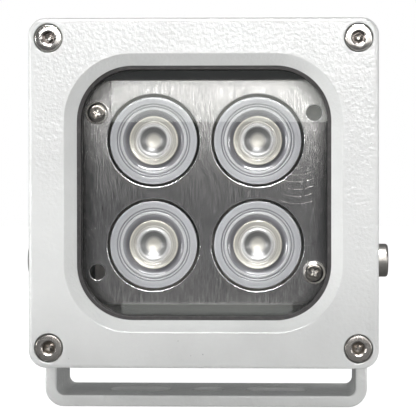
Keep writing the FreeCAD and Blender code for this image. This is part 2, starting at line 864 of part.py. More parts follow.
def arm_side_view():
    """Outline of the arms seen from the side: full depth at the foot, tapering to a round end."""
    x = -arm_outer
    half = bracket_depth / 2
    taper_start = bracket_thickness + bracket_bend_r + arm_straight
    shift = half - arm_taper_r
    rise = pivot_z - taper_start
    reach = math.hypot(shift, rise)
    lean = math.atan2(rise, -shift) - math.acos((arm_taper_r - arm_end_r) / reach)

    def on_shoulder(side, angle):
        """Point of the arc that leads from the upright edge into the taper."""
        y = shift + arm_taper_r * math.cos(angle)
        return Vector(x, side * y, taper_start + arm_taper_r * math.sin(angle))

    def on_end(side, angle):
        """Point of the round end."""
        return Vector(x, side * arm_end_r * math.cos(angle), pivot_z + arm_end_r * math.sin(angle))

    edges = [Part.makeLine(Vector(x, half, 0), Vector(x, -half, 0))]
    edges.append(Part.Arc(on_end(-1, lean), on_end(1, math.pi / 2), on_end(1, lean)).toShape())
    for side in (-1, 1):
        start, middle, finish = [on_shoulder(side, lean * share) for share in (0, 0.5, 1)]
        edges.append(Part.makeLine(Vector(x, side * half, 0), start))
        edges.append(Part.Arc(start, middle, finish).toShape())
        edges.append(Part.makeLine(finish, on_end(side, lean)))
    outline = Part.Wire(Part.__sortEdges__(edges))
    return Part.Face(outline).extrude(Vector(2 * arm_outer, 0, 0))


def sheet_edges(strap):
    """Edges round the strap, without its fold lines and the short ones across its thickness."""
    chosen = []
    for edge in strap.Edges:
        box = edge.BoundBox
        on_fold = box.XLength < flat_tolerance and box.ZLength < flat_tolerance
        across = box.YLength < flat_tolerance and box.ZLength < flat_tolerance
        if not on_fold and not (across and box.XLength < 2 * bracket_thickness):
            chosen.append(edge)
    return chosen


def base_rims(strap):
    """Upper edges of the openings in the bracket's base."""
    chosen = []
    for edge in strap.Edges:
        box = edge.BoundBox
        on_top = abs(box.ZMin - bracket_thickness) < flat_tolerance and box.ZLength < flat_tolerance
        if on_top and max(-box.YMin, box.YMax) < bracket_depth / 2 - bracket_edge_r - flat_tolerance:
            chosen.append(edge)
    return chosen


def base_slot(x):
    """Slot through the bracket's base, long way across."""
    straight = (slot_length - slot_width) / 2
    ends = [
        Part.makeCylinder(slot_width / 2, bracket_thickness, Vector(x + side * straight, 0, 0))
        for side in (-1, 1)
    ]
    middle = Part.makeBox(
        2 * straight, slot_width, bracket_thickness, Vector(x - straight, -slot_width / 2, 0)
    )
    return joined(ends + [middle])


def bracket():
    """Strap folded to a U, with tapered arms, two slots and a round hole in its base."""
    top_z = pivot_z + arm_end_r
    outside = folded_section(arm_outer, 0, bracket_bend_r + bracket_thickness, top_z)
    inside = folded_section(arm_inner, bracket_thickness, bracket_bend_r, top_z)
    strap = outside.cut(inside).common(arm_side_view())
    strap = strap.makeFillet(bracket_edge_r, sheet_edges(strap))
    cuts = [base_slot(side * slot_pitch / 2) for side in (-1, 1)]
    cuts.append(Part.makeCylinder(centre_hole_r, bracket_thickness))
    cuts.append(cross_rod(m5_r + pivot_clearance, -arm_outer, arm_outer))
    strap = strap.cut(cuts)
    return strap.makeFillet(slot_edge_r, base_rims(strap))


def pivot_bolts():
    """Two socket-head bolts along the tilt axis."""
    bolts = []
    for side in (-1, 1):
        bolt = socket_screw(m5_head_r, m5_head_height, m5_r, pivot_bolt_length, m5_key, m5_key_depth)
        bolt.rotate(Vector(0, 0, 0), Vector(0, 0, 1), side * 90)
        bolt.translate(Vector(side * bolt_seat, 0, pivot_z))
        bolts.append(bolt)
    return group(bolts)


def pivot_washers():
    """Nylon washers between the housing's bosses and the arms."""
    washers = []
    for side in (-1, 1):
        disc = cross_rod(pivot_washer_r, side * boss_face, side * arm_inner)
        washers.append(disc.cut(cross_rod(pivot_washer_bore_r, side * boss_face, side * arm_inner)))
    return group(washers)


def pivot_spring_washers():
    """Split spring washers under the bolt heads."""
    washers = []
    for side in (-1, 1):
        disc = cross_rod(spring_washer_r, side * arm_outer, side * bolt_seat)
        disc = disc.cut(cross_rod(pivot_washer_bore_r, side * arm_outer, side * bolt_seat))
        split = Part.makeBox(
            2 * spring_washer,
            spring_washer_split,
            spring_washer_r,
            Vector(side * (arm_outer + bolt_seat) / 2 - spring_washer, -spring_washer_split / 2, pivot_z),
        )
        washers.append(disc.cut(split))
    return group(washers)


def build():
    """Every sub-part by name."""
    parts = {
        "front_bezel": front_bezel(),
        "glass_gasket": glass_gasket(),
        "glass_pane": glass_pane(),
        "cover_seal": cover_seal(),
        "cover_screws": cover_screws(),
        "mask_plate": mask_plate(),
        "mask_screws": mask_screws(),
        "mask_spacers": mask_spacers(),
        "led_board": led_board(),
        "carrier_plate": carrier_plate(),
        "carrier_screws": carrier_screws(),
        "link_pins": link_pins(),
        "driver_board": driver_board(),
        "driver_screws": driver_screws(),
        "driver_coil": driver_coil(),
        "driver_capacitors": driver_capacitors(),
        "driver_chip": driver_chip(),
        "input_terminal": input_terminal(),
        "rear_housing": rear_housing(),
        "gland_ring": gland_ring(),
        "gland_body": gland_body(),
        "gland_seal": gland_seal(),
        "gland_nut": gland_nut(),
        "bracket": bracket(),
        "pivot_bolts": pivot_bolts(),
        "pivot_washers": pivot_washers(),
        "pivot_spring_washers": pivot_spring_washers(),
    }
    for number, (x, z) in enumerate(lens_places, start=1):
        parts["lens_%d" % number] = lens(x, z)
        parts["lens_holder_%d" % number] = lens_holder(x, z)
        parts["led_%d" % number] = led(x, z)
    return parts


os.makedirs("parts", exist_ok=True)
for name, shape in build().items():
    shape.exportStep("parts/%s.step" % name)
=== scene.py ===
"""Looks of the white light illuminator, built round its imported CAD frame."""

import logging
import math
from dataclasses import dataclass
from enum import Enum
from typing import Callable, Iterator, Optional, Sequence, Union

import bmesh
import bpy
from mathutils import Euler, Matrix, Vector


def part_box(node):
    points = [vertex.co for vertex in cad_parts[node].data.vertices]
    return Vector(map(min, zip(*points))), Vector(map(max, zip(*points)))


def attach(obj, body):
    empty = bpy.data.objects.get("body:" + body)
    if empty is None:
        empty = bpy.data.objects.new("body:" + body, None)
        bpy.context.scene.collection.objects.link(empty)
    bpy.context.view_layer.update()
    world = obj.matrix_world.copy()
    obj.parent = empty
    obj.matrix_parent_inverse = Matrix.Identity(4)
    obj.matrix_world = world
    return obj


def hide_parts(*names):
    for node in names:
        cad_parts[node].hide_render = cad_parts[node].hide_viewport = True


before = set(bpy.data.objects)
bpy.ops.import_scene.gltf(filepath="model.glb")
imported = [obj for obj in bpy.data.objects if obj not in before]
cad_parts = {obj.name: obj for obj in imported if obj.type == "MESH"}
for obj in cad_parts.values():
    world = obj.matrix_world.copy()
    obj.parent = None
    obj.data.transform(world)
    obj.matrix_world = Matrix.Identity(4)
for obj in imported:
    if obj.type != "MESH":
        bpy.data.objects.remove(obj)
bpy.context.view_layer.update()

log = logging.getLogger("illuminator")

MM = 0.001
RING = "ring"
SUNK = "sunk"
SCREW_SIDES = 48

Colour = tuple[float, float, float]
Point = tuple[float, float]
Place = tuple[float, float, float]
Piece = bpy.types.Object


class Body(Enum):
    """The frame's two bodies."""

    HEAD = "head"
    BRACKET = "bracket"


class Axis(Enum):
    """Direction in which a turned piece's axis runs, as the turn that brings +Z onto it."""

    BACKWARDS = (-math.pi / 2, 0.0, 0.0)
    RIGHT = (0.0, math.pi / 2, 0.0)
    LEFT = (0.0, -math.pi / 2, 0.0)


def _math(operation: str, swapped: bool = False) -> Callable[["Value", "Term"], "Value"]:
    """Makes one of Value's operators.

    Args:
        operation: What its Math node does.
        swapped: Whether the other term comes first.

    Returns:
        The method.
    """

    def method(self: "Value", other: "Term" = 0.0) -> "Value":
        """Adds one Math node and gives its result."""
        first, second = (other, self) if swapped else (self, other)
        return self.recipe.node("ShaderNodeMath", {"operation": operation}, {0: first, 1: second})

    return method


class Value:
    """A shader socket that takes part in sums as a number does."""

    def __init__(self, recipe: "Recipe", socket: bpy.types.NodeSocket) -> None:
        """Wraps an output of one of the recipe's nodes."""
        self.recipe = recipe
        self.socket = socket

    __add__ = __radd__ = _math("ADD")
    __sub__ = _math("SUBTRACT")
    __rsub__ = _math("SUBTRACT", swapped=True)
    __mul__ = __rmul__ = _math("MULTIPLY")
    __truediv__ = _math("DIVIDE")
    __pow__ = _math("POWER")
    __abs__ = _math("ABSOLUTE")
    at_most = _math("MINIMUM")
    at_least = _math("MAXIMUM")
    wrapped = _math("FRACT")

    def between(self, low: float, high: float) -> "Value":
        """Smooth step.

        Args:
            low: Where the step starts. It may be above high, and the step then falls.
            high: Where it ends.

        Returns:
            0 before the step and 1 after it.
        """
        settings = {"interpolation_type": "SMOOTHSTEP", "clamp": True}
        values = {0: self, 1: low, 2: high, 3: 0.0, 4: 1.0}
        if low > high:
            values = {0: self, 1: high, 2: low, 3: 1.0, 4: 0.0}
        return self.recipe.node("ShaderNodeMapRange", settings, values)


Term = Union[Value, float]


class Recipe:
    """One material and the nodes that make it."""

    def __init__(self, name: str) -> None:
        """Starts a material of that name with nothing but its shader."""
        self.material = bpy.data.materials.new(name)
        self.material.use_nodes = True
        self.nodes = self.material.node_tree.nodes
        self.links = self.material.node_tree.links
        self.shader = self.nodes["Principled BSDF"]

    def node(
        self,
        kind: str,
        settings: Optional[dict] = None,
        values: Optional[dict] = None,
        output: Union[int, str] = 0,
    ) -> Value:
        """Adds a node.

        Args:
            kind: The node's type.
            settings: Its properties; "stops" gives a ramp's (position, colour) pairs.
            values: A number, colour or Value for each input, by name or index.
            output: Which output to take.

        Returns:
            That output.
        """
        node = self.nodes.new(kind)
        for name, setting in (settings or {}).items():
            if name == "stops":
                self._set_stops(node.color_ramp, setting)
            else:
                setattr(node, name, setting)
        for name, value in (values or {}).items():
            self.feed(node.inputs[name], value)
        return Value(self, node.outputs[output])

    @staticmethod
    def _set_stops(ramp: bpy.types.ColorRamp, stops: Sequence[tuple[float, Colour]]) -> None:
        """Gives a colour ramp its stops."""
        while len(ramp.elements) < len(stops):
            ramp.elements.new(1.0)
        for element, (position, colour) in zip(ramp.elements, stops):
            element.position = position
            element.color = (*colour, 1.0)

    def feed(self, socket: bpy.types.NodeSocket, value: Union[Term, Colour]) -> None:
        """Links a Value to a socket, or sets a number or colour on it."""
        if isinstance(value, Value):
            self.links.new(value.socket, socket)
        elif isinstance(value, tuple) and len(value) < len(socket.default_value):
            socket.default_value = (*value, 1.0)
        else:
            socket.default_value = value

    def place(self) -> Value:
        """Place on the object, in metres of the shared frame."""
        return self.node("ShaderNodeTexCoord", output="Object")

    def axes(self, place: Value) -> tuple[Value, Value, Value]:
        """The three parts of a place."""
        split = self.node("ShaderNodeSeparateXYZ", values={0: place})
        outputs = split.socket.node.outputs
        return Value(self, outputs[0]), Value(self, outputs[1]), Value(self, outputs[2])

    def noise(self, place: Value, size_mm: float, detail: float = 2.0, rough: float = 0.5) -> Value:
        """Soft noise whose lumps are about size_mm across, from 0 to 1."""
        values = {"Vector": place, "Scale": 1.0 / (size_mm * MM), "Detail": detail, "Roughness": rough}
        return self.node("ShaderNodeTexNoise", {"noise_dimensions": "3D"}, values)

    def grain(self, place: Value, scale: Place, turn: float = 0.0, detail: float = 2.0) -> Value:
        """Noise drawn out along one direction.

        Args:
            place: Where to look.
            scale: Factor along each axis; the grain runs along the smallest.
            turn: Angle about +Y, in radians.
            detail: The noise's detail.

        Returns:
            The noise, from 0 to 1.
        """
        point = {"vector_type": "POINT"}
        turned = self.node("ShaderNodeMapping", point, {0: place, "Rotation": (0.0, turn, 0.0)})
        drawn = self.node("ShaderNodeMapping", point, {0: turned, "Scale": scale})
        values = {"Vector": drawn, "Scale": 1.0, "Detail": detail}
        return self.node("ShaderNodeTexNoise", {"noise_dimensions": "3D"}, values)

    def dots(self, place: Value, spacing_mm: float, radius: float, share: float) -> Value:
        """Scattered dots.

        Args:
            place: Where to look.
            spacing_mm: Size of the cells that may each hold a dot.
            radius: A dot's radius as a share of its cell.
            share: Share of the cells that hold one.

        Returns:
            1 inside a dot and 0 outside.
        """
        values = {"Vector": place, "Scale": 1.0 / (spacing_mm * MM)}
        near = self.node("ShaderNodeTexVoronoi", {"feature": "F1"}, values, "Distance")
        cell = self.node("ShaderNodeTexVoronoi", {"feature": "F1"}, values, "Color")
        chosen = self.axes(cell)[0].between(1.0 - share, 1.0 - share + 0.01)
        return near.between(radius, radius * 0.6) * chosen

    def mix(self, share: Term, first: Union[Value, Colour], second: Union[Value, Colour]) -> Value:
        """Blend of two colours; share 0 gives the first."""
        settings = {"data_type": "RGBA", "blend_type": "MIX"}
        return self.node("ShaderNodeMix", settings, {0: share, 6: first, 7: second}, 2)

    def ramp(self, value: Term, stops: Sequence[tuple[float, Colour]]) -> Value:
        """Colour looked up by a value."""
        return self.node("ShaderNodeValToRGB", {"stops": stops}, {0: value})

    def bump(self, height: Value, depth_mm: float, strength: float = 1.0) -> Value:
        """Normal of a surface that a height from 0 to 1 lifts by up to depth_mm."""
        values = {"Height": height, "Distance": depth_mm * MM, "Strength": strength}
        return self.node("ShaderNodeBump", values=values)

    def surface(self, **values: Union[Term, Colour]) -> None:
        """Feeds the shader's sockets; Base_Color stands for "Base Color"."""
        for name, value in values.items():
            self.feed(self.shader.inputs[name.replace("_", " ")], value)


def toned(colour: Colour, factor: float) -> Colour:
    """A colour made darker, or lighter with a factor above 1."""
    red, green, blue = colour
    return (red * factor, green * factor, blue * factor)


@dataclass(frozen=True)
class Finish:
    """What every finish shares."""

    name: str

    def fill(self, recipe: Recipe) -> None:
        """Adds the finish's nodes to an empty recipe."""
        raise NotImplementedError

    def material(self) -> bpy.types.Material:
        """The finish's material, made at first use.

        Returns:
            The material.
        """
        known = bpy.data.materials.get(self.name)
        if known is not None:
            return known
        recipe = Recipe(self.name)
        self.fill(recipe)
        return recipe.material


@dataclass(frozen=True)
class PowderCoat(Finish):
    """Baked powder paint with its orange-peel skin, a few pits and a faint change of tone."""

    colour: Colour
    peel_mm: float = 0.85
    peel_depth_mm: float = 0.15
    pits_mm: float = 3.1
    tone_mm: float = 14.0
    roughness: float = 0.16
    gloss: float = 0.75

    def skin(self, recipe: Recipe, place: Value) -> tuple[Value, Value]:
        """Colour and height of the paint.

        Args:
            recipe: The recipe to add to.
            place: Where to look.

        Returns:
            Colour, and height from 0 to 1.
        """
        peel = recipe.noise(place, self.peel_mm, 1.5, 0.4)
        fine = recipe.noise(place, self.peel_mm / 2.6, 1.0)
        pits = recipe.dots(place, self.pits_mm, 0.07, 0.16)
        tone = recipe.noise(place, self.tone_mm, 3.0)
        paint = recipe.mix(tone.between(0.3, 0.7), toned(self.colour, 0.965), toned(self.colour, 1.02))
        shown = recipe.mix(pits * 0.8, paint, toned(self.colour, 0.55))
        return shown, peel * 0.75 + fine * 0.25 - pits * 0.8

    def fill(self, recipe: Recipe) -> None:
        """Adds the paint's nodes."""
        place = recipe.place()
        colour, height = self.skin(recipe, place)
        sheen = recipe.noise(place, 5.0, 2.0)
        recipe.surface(
            Base_Color=colour,
            Roughness=sheen * 0.1 + (self.roughness - 0.05),
            Normal=recipe.bump(height, self.peel_depth_mm),
            Specular_IOR_Level=self.gloss,
        )


@dataclass(frozen=True)
class CastHousing(PowderCoat):
    """Powder paint outside, bare grey casting inside the cavity."""

    half_mm: float = 34.6
    front_mm: float = -19.85
    back_mm: float = 15.4
    centre_mm: float = 56.7
    bare: Colour = (0.78, 0.77, 0.75)

    def fill(self, recipe: Recipe) -> None:
        """Adds the paint's nodes and the bare inside."""
        place = recipe.place()
        x, y, z = recipe.axes(place)
        across = abs(x).at_least(abs(z - self.centre_mm * MM))
        edge = 0.1 * MM
        within = across.between(self.half_mm * MM + edge, self.half_mm * MM)
        behind = y.between(self.front_mm * MM - edge, self.front_mm * MM)
        before = y.between(self.back_mm * MM + edge, self.back_mm * MM)
        inside = within * behind * before
        colour, height = self.skin(recipe, place)
        sand = recipe.noise(place, 0.35, 4.0, 0.6)
        recipe.surface(
            Base_Color=recipe.mix(inside, colour, self.bare),
            Roughness=inside * 0.3 + self.roughness,
            Metallic=inside * 0.15,
            Normal=recipe.bump(height * (1.0 - inside) + sand * inside, self.peel_depth_mm),
            Specular_IOR_Level=self.gloss,
        )


@dataclass(frozen=True)
class BrushedPlate(Finish):
    """Brushed stainless sheet with upright grain, fine scratches, nail marks and a small black tick, and
    painted shade near the window's corners and towards the bottom.
    """

    colour: Colour = (0.84, 0.83, 0.825)
    dull: Colour = (0.46, 0.455, 0.46)
    centre_mm: float = 56.7
    # Where the painted shade near the window's rounded corners lies and how it fades.
    corner_mm: Point = (17.8, 17.2)
    corner_r_mm: float = 14.0
    corner_fade_mm: Point = (-4.5, 0.5)
    # Heights over which the painted shade towards the bottom comes in.
    painted_low_shade_mm: Point = (40.0, 28.0)
    marks_at_mm: Point = (24.1, 58.6)
    marks_step_mm: float = 1.9
    marks_half_mm: float = 4.5
    marks_bend: float = 0.05
    tick_at_mm: Point = (-27.3, 52.6)
    tick_half_mm: Point = (0.16, 0.6)
    tick_edge: Point = (0.6, 0.8)
    scratched: Colour = (0.88, 0.86, 0.82)
    shaded: Colour = (0.12, 0.118, 0.115)
    ink: Colour = (0.01, 0.01, 0.01)
    shade_share: float = 0.72

    def scratches(self, recipe: Recipe, place: Value) -> Value:
        """Fine lines in a few directions, from 0 to 1."""
        first = recipe.grain(place, (7600.0, 900.0, 120.0), 0.62, 1.0).between(0.76, 0.80)
        second = recipe.grain(place, (7200.0, 900.0, 150.0), -0.95, 1.0).between(0.77, 0.81)
        patches = recipe.noise(place, 11.0, 2.0).between(0.48, 0.62)
        return first.at_least(second) * patches

    def nail_marks(self, recipe: Recipe, x: Value, z: Value) -> Value:
        """A stack of shallow curved marks, from 0 to 1."""
        along = x / MM - self.marks_at_mm[0]
        up = z / MM - self.marks_at_mm[1]
        curved = (up - along * along * self.marks_bend) / self.marks_step_mm
        line = abs(curved.wrapped() - 0.5).between(0.05, 0.015)
        side = abs(along).between(self.marks_half_mm, self.marks_half_mm - 0.6)
        height = abs(up).between(self.marks_half_mm + 0.6, self.marks_half_mm)
        return line * side * height

    def fill(self, recipe: Recipe) -> None:
        """Adds the sheet's nodes."""
        place = recipe.place()
        x, _, z = recipe.axes(place)
        coarse = recipe.grain(place, (5200.0, 300.0, 260.0), 0.0, 3.0).between(0.3, 0.7)
        # Painted shade: darker near the window's rounded corners.
        corner_x = (abs(x) - self.corner_mm[0] * MM).at_least(0.0)
        corner_z = (abs(z - self.centre_mm * MM) - self.corner_mm[1] * MM).at_least(0.0)
        corner = (corner_x * corner_x + corner_z * corner_z) ** 0.5 / MM
        shade = corner.between(*(self.corner_r_mm + fade for fade in self.corner_fade_mm))
        fine = recipe.grain(place, (9000.0, 700.0, 120.0), 0.0, 2.0)
        cloud = recipe.noise(place, 16.0, 3.0)
        broken = recipe.noise(place, 0.8, 2.0).between(0.42, 0.55)
        lines = self.scratches(recipe, place).at_least(self.nail_marks(recipe, x, z) * broken)
        tick_x, tick_z = (
            abs(way / MM - at).between(half, half * edge)
            for way, at, half, edge in zip((x, z), self.tick_at_mm, self.tick_half_mm, self.tick_edge)
        )
        base = recipe.mix(coarse * 0.75 + cloud * 0.25, self.dull, self.colour)
        marked = recipe.mix(lines * 0.5, base, self.scratched)
        # Painted shade towards the bottom, mixed with the corner shade into the shaded colour.
        low = (z / MM).between(*self.painted_low_shade_mm)
        marked = recipe.mix(shade.at_least(low * 0.55) * self.shade_share, marked, self.shaded)
        recipe.surface(
            Base_Color=recipe.mix(tick_x * tick_z, marked, self.ink),
            Metallic=1.0,
            Roughness=0.1 + fine * 0.08 + lines * 0.08,
            Normal=recipe.bump(coarse * 0.6 + fine * 0.4 - lines * 0.12, 0.03),
        )


@dataclass(frozen=True)
class TurnedSteel(Finish):
    """Stainless steel with faint turning rings, random dirt specks, and painted shade on the walls of its
    recess (a painted highlight there in the dull steel).
    """

    colour: Colour = (0.62, 0.60, 0.575)
    # Colour of the dirt specks and of the painted recess: dark for painted shade, light for the dull steel's
    # painted highlight.
    soiled: Colour = (0.12, 0.10, 0.09)
    roughness: float = 0.1
    ring_mm: float = 0.16

    def fill(self, recipe: Recipe) -> None:
        """Adds the steel's nodes."""
        place = recipe.place()
        radius = recipe.node("ShaderNodeAttribute", {"attribute_name": RING}, output="Fac")
        rings = (radius * (1.0 / (self.ring_mm * MM))).wrapped()
        # The recess walls take the recess colour as painted shade (as a painted highlight in the dull steel);
        # the specks are dirt.
        sunk = recipe.node("ShaderNodeAttribute", {"attribute_name": SUNK}, output="Fac")
        specks = recipe.noise(place, 1.6, 4.0, 0.6).between(0.55, 0.8)
        specks_and_painted_recess = specks.at_least(sunk)
        rub = recipe.noise(place, 0.25, 3.0)
        recipe.surface(
            Base_Color=recipe.mix(specks_and_painted_recess * 0.9, self.colour, self.soiled),
            Metallic=1.0,
            Roughness=self.roughness + rub * 0.06 + specks_and_painted_recess * 0.12,
            Normal=recipe.bump(abs(rings - 0.5) * 0.6 + rub * 0.4, 0.0025),
        )


@dataclass(frozen=True)
class BareMetal(Finish):
    """Bare metal of the inner pieces: rubbed, or drawn where a grain is given."""

    colour: Colour
    roughness: float
    spread: float
    depth_mm: float
    darker: float = 0.8
    rub_mm: float = 0.4
    detail: Point = (4.0, 0.6)
    grain: Optional[Place] = None
    blotch_mm: float = 0.0

    def fill(self, recipe: Recipe) -> None:
        """Adds the metal's nodes."""
        place = recipe.place()
        rub = recipe.grain(place, self.grain) if self.grain else recipe.noise(place, self.rub_mm, *self.detail)
        tone = recipe.noise(place, self.blotch_mm) if self.blotch_mm else rub
        recipe.surface(
            Base_Color=recipe.mix(tone, self.colour, toned(self.colour, self.darker)),
            Metallic=1.0,
            Roughness=self.roughness + rub * self.spread,
            Normal=recipe.bump(rub, self.depth_mm),
        )


@dataclass(frozen=True)
class Rubber(Finish):
    """Moulded black rubber with a dusty bloom."""

    colour: Colour = (0.03, 0.027, 0.028)
    bloom: Colour = (0.075, 0.07, 0.068)

    def fill(self, recipe: Recipe) -> None:
        """Adds the rubber's nodes."""
        place = recipe.place()
        dust = recipe.noise(place, 2.2, 4.0, 0.65)
        skin = recipe.noise(place, 0.35, 2.0)
        recipe.surface(
            Base_Color=recipe.mix(dust.between(0.45, 0.8), self.colour, self.bloom),
            Roughness=0.42 + dust * 0.2,
            Normal=recipe.bump(skin, 0.012),
        )


@dataclass(frozen=True)
class ClearPane(Finish):
    """Toughened glass: a faint mirror that shows more at a glance, with light smears."""

    tint: Colour = (0.80, 0.84, 0.82)
    mirror: float = 0.045

    def fill(self, recipe: Recipe) -> None:
        """Adds the glass's nodes."""
        place = recipe.place()
        glance = recipe.node("ShaderNodeLayerWeight", values={"Blend": 0.35}, output="Facing")
        smear = recipe.grain(place, (90.0, 90.0, 30.0), 0.7, 3.0)
        recipe.surface(
            Base_Color=self.tint,
            Metallic=1.0,
            Roughness=smear.between(0.45, 0.8) * 0.03,
            Alpha=glance ** 4.0 * 0.5 + self.mirror + smear * 0.01,
        )


@dataclass(frozen=True)
class LensPlastic(Finish):
    """Clear moulded lens. The light its stepped front sends back is painted into its colour ring by ring:
    painted reflections and highlights.
    """

    lens_r_mm: float = 11.5
    disc_r_mm: float = 6.4
    bowl_r_mm: float = 3.7
    # Colour at each radius in mm: painted reflections and highlights of the lens steps, with the LED's yellow
    # painted into the cream disc.
    rings: tuple[tuple[float, Colour], ...] = (
        (0.0, (0.84, 0.81, 0.74)),
        (1.4, (0.80, 0.78, 0.72)),
        (2.4, (0.26, 0.26, 0.26)),
        (3.3, (0.24, 0.24, 0.24)),
        (3.7, (0.60, 0.60, 0.60)),
        (4.05, (0.90, 0.90, 0.89)),
        (4.5, (0.95, 0.94, 0.92)),
        (4.75, (0.60, 0.58, 0.54)),
        (4.95, (0.74, 0.72, 0.67)),
        (5.15, (0.50, 0.48, 0.43)),
        (5.4, (0.68, 0.66, 0.60)),
        (5.8, (0.62, 0.60, 0.54)),
        (6.2, (0.97, 0.94, 0.84)),
        (6.42, (0.84, 0.80, 0.70)),
        (6.5, (0.22, 0.22, 0.24)),
        (7.0, (0.20, 0.20, 0.22)),
        (7.6, (0.32, 0.32, 0.35)),
        (8.0, (0.46, 0.46, 0.49)),
        (8.15, (0.92, 0.93, 0.95)),
        (8.75, (0.95, 0.96, 0.97)),
        (8.95, (0.40, 0.40, 0.43)),
        (9.05, (0.50, 0.50, 0.53)),
        (9.3, (0.88, 0.88, 0.90)),
        (9.5, (0.44, 0.44, 0.47)),
        (9.9, (0.74, 0.75, 0.78)),
        (10.7, (0.70, 0.71, 0.74)),
        (11.5, (0.82, 0.83, 0.86)),
    )

    def fill(self, recipe: Recipe) -> None:
        """Adds the lens's nodes."""
        radius = recipe.node("ShaderNodeAttribute", {"attribute_name": RING}, output="Fac")
        across = radius / MM
        # Painted ring light, looked up by radius.
        stops = [(at / self.lens_r_mm, colour) for at, colour in self.rings]
        colour = recipe.ramp(across / self.lens_r_mm, stops)
        disc = across.between(self.disc_r_mm + 0.1, self.disc_r_mm)
        bowl = across.between(self.bowl_r_mm + 0.3, self.bowl_r_mm)
        haze = recipe.noise(recipe.place(), 0.7, 3.0)
        recipe.surface(
            Base_Color=colour,
            Metallic=disc * 0.2 + bowl * 0.25,
            Roughness=haze * 0.08 + 0.16 + bowl * 0.2,
            Alpha=disc * 0.12 + 0.88,
            Normal=recipe.bump(haze, 0.004),
            Coat_Weight=0.5 - bowl * 0.45,
            Coat_Roughness=0.04,
        )


@dataclass(frozen=True)
class MouldedPlastic(Finish):
    """Plastic moulding with a fine spark-eroded texture."""

    colour: Colour
    roughness: float = 0.45
    grain_mm: float = 0.22

    def fill(self, recipe: Recipe) -> None:
        """Adds the plastic's nodes."""
        place = recipe.place()
        texture = recipe.noise(place, self.grain_mm, 3.0, 0.6)
        tone = recipe.noise(place, 4.0, 3.0)
        recipe.surface(
            Base_Color=recipe.mix(tone, self.colour, toned(self.colour, 1.25)),
            Roughness=self.roughness + tone * 0.12,
            Normal=recipe.bump(texture, 0.012),
        )


@dataclass(frozen=True)
class CircuitBoard(Finish):
    """Circuit board with its mask over copper tracks and fields."""

    mask: Colour
    track: Colour
    pitch_mm: float = 2.6

    def fill(self, recipe: Recipe) -> None:
        """Adds the board's nodes."""
        place = recipe.place()
        settings = {"feature": "F1", "distance": "CHEBYCHEV"}
        values = {"Vector": place, "Scale": 1.0 / (self.pitch_mm * MM), "Randomness": 0.55}
        field = recipe.node("ShaderNodeTexVoronoi", settings, values, "Distance")
        copper = field.between(0.42, 0.38)
        weave = recipe.noise(place, 0.3, 2.0)
        recipe.surface(
            Base_Color=recipe.mix(copper, self.mask, self.track),
            Roughness=0.3 + weave * 0.12,
            Normal=recipe.bump(copper * 0.7 + weave * 0.3, 0.03),
            Coat_Weight=0.3,
        )


@dataclass(frozen=True)
class WoundFerrite(Finish):
    """Ferrite drum with copper wire round its waist."""

    centre_mm: Point = (-11.0, 64.7)
    waist_mm: float = 4.45
    under_wire_mm: float = 3.9
    wire_mm: float = 0.35
    ferrite: Colour = (0.06, 0.06, 0.065)
    copper: Colour = (0.62, 0.25, 0.12)

    def fill(self, recipe: Recipe) -> None:
        """Adds the drum's nodes."""
        place = recipe.place()
        x, y, z = recipe.axes(place)
        off_x = x / MM - self.centre_mm[0]
        off_z = z / MM - self.centre_mm[1]
        radius = (off_x * off_x + off_z * off_z) ** 0.5
        outside = radius.between(self.under_wire_mm, self.under_wire_mm + 0.1)
        wire = radius.between(self.waist_mm + 0.05, self.waist_mm) * outside
        turns = abs((y / (self.wire_mm * MM)).wrapped() - 0.5) * 2.0
        grit = recipe.noise(place, 0.3, 3.0)
        recipe.surface(
            Base_Color=recipe.mix(wire, self.ferrite, self.copper),
            Metallic=wire,
            Roughness=0.55 - wire * 0.25,
            Normal=recipe.bump(turns * wire + grit * 0.2, 0.05),
        )


@dataclass(frozen=True)
class LedPackage(Finish):
    """White ceramic base with a yellow phosphor under a clear dome."""

    base_mm: float = 0.62
    board_y_mm: float = -0.8
    ceramic: Colour = (0.82, 0.82, 0.80)
    phosphor: Colour = (0.80, 0.62, 0.12)

    def fill(self, recipe: Recipe) -> None:
        """Adds the LED's nodes."""
        place = recipe.place()
        _, y, _ = recipe.axes(place)
        base_top = self.board_y_mm - self.base_mm
        dome = (y / MM).between(base_top, base_top - 0.05)
        grains = recipe.noise(place, 0.12, 2.0)
        glow = recipe.mix(grains, self.phosphor, toned(self.phosphor, 0.85))
        recipe.surface(
            Base_Color=recipe.mix(dome, self.ceramic, glow),
            Roughness=0.4 - dome * 0.3 + grains * 0.05,
            Normal=recipe.bump(grains, 0.004),
            Coat_Weight=0.4,
        )


PAINT_WHITE = (0.80, 0.805, 0.795)
WHITE_PAINT = PowderCoat("white powder coat", PAINT_WHITE)
HOUSING_PAINT = CastHousing("housing powder coat", PAINT_WHITE)
BRUSHED_PLATE = BrushedPlate("brushed plate")
TURNED_STEEL = TurnedSteel("turned steel")
# Darker copy of the turned steel for the lower corner screws: painted shade.
LOWER_SCREW_SHADED_STEEL = TurnedSteel("soiled steel", (0.40, 0.38, 0.36), (0.09, 0.075, 0.06), 0.2)
RUBBED_STEEL = TurnedSteel("rubbed steel", (0.44, 0.425, 0.405), (0.20, 0.18, 0.16), 0.3)
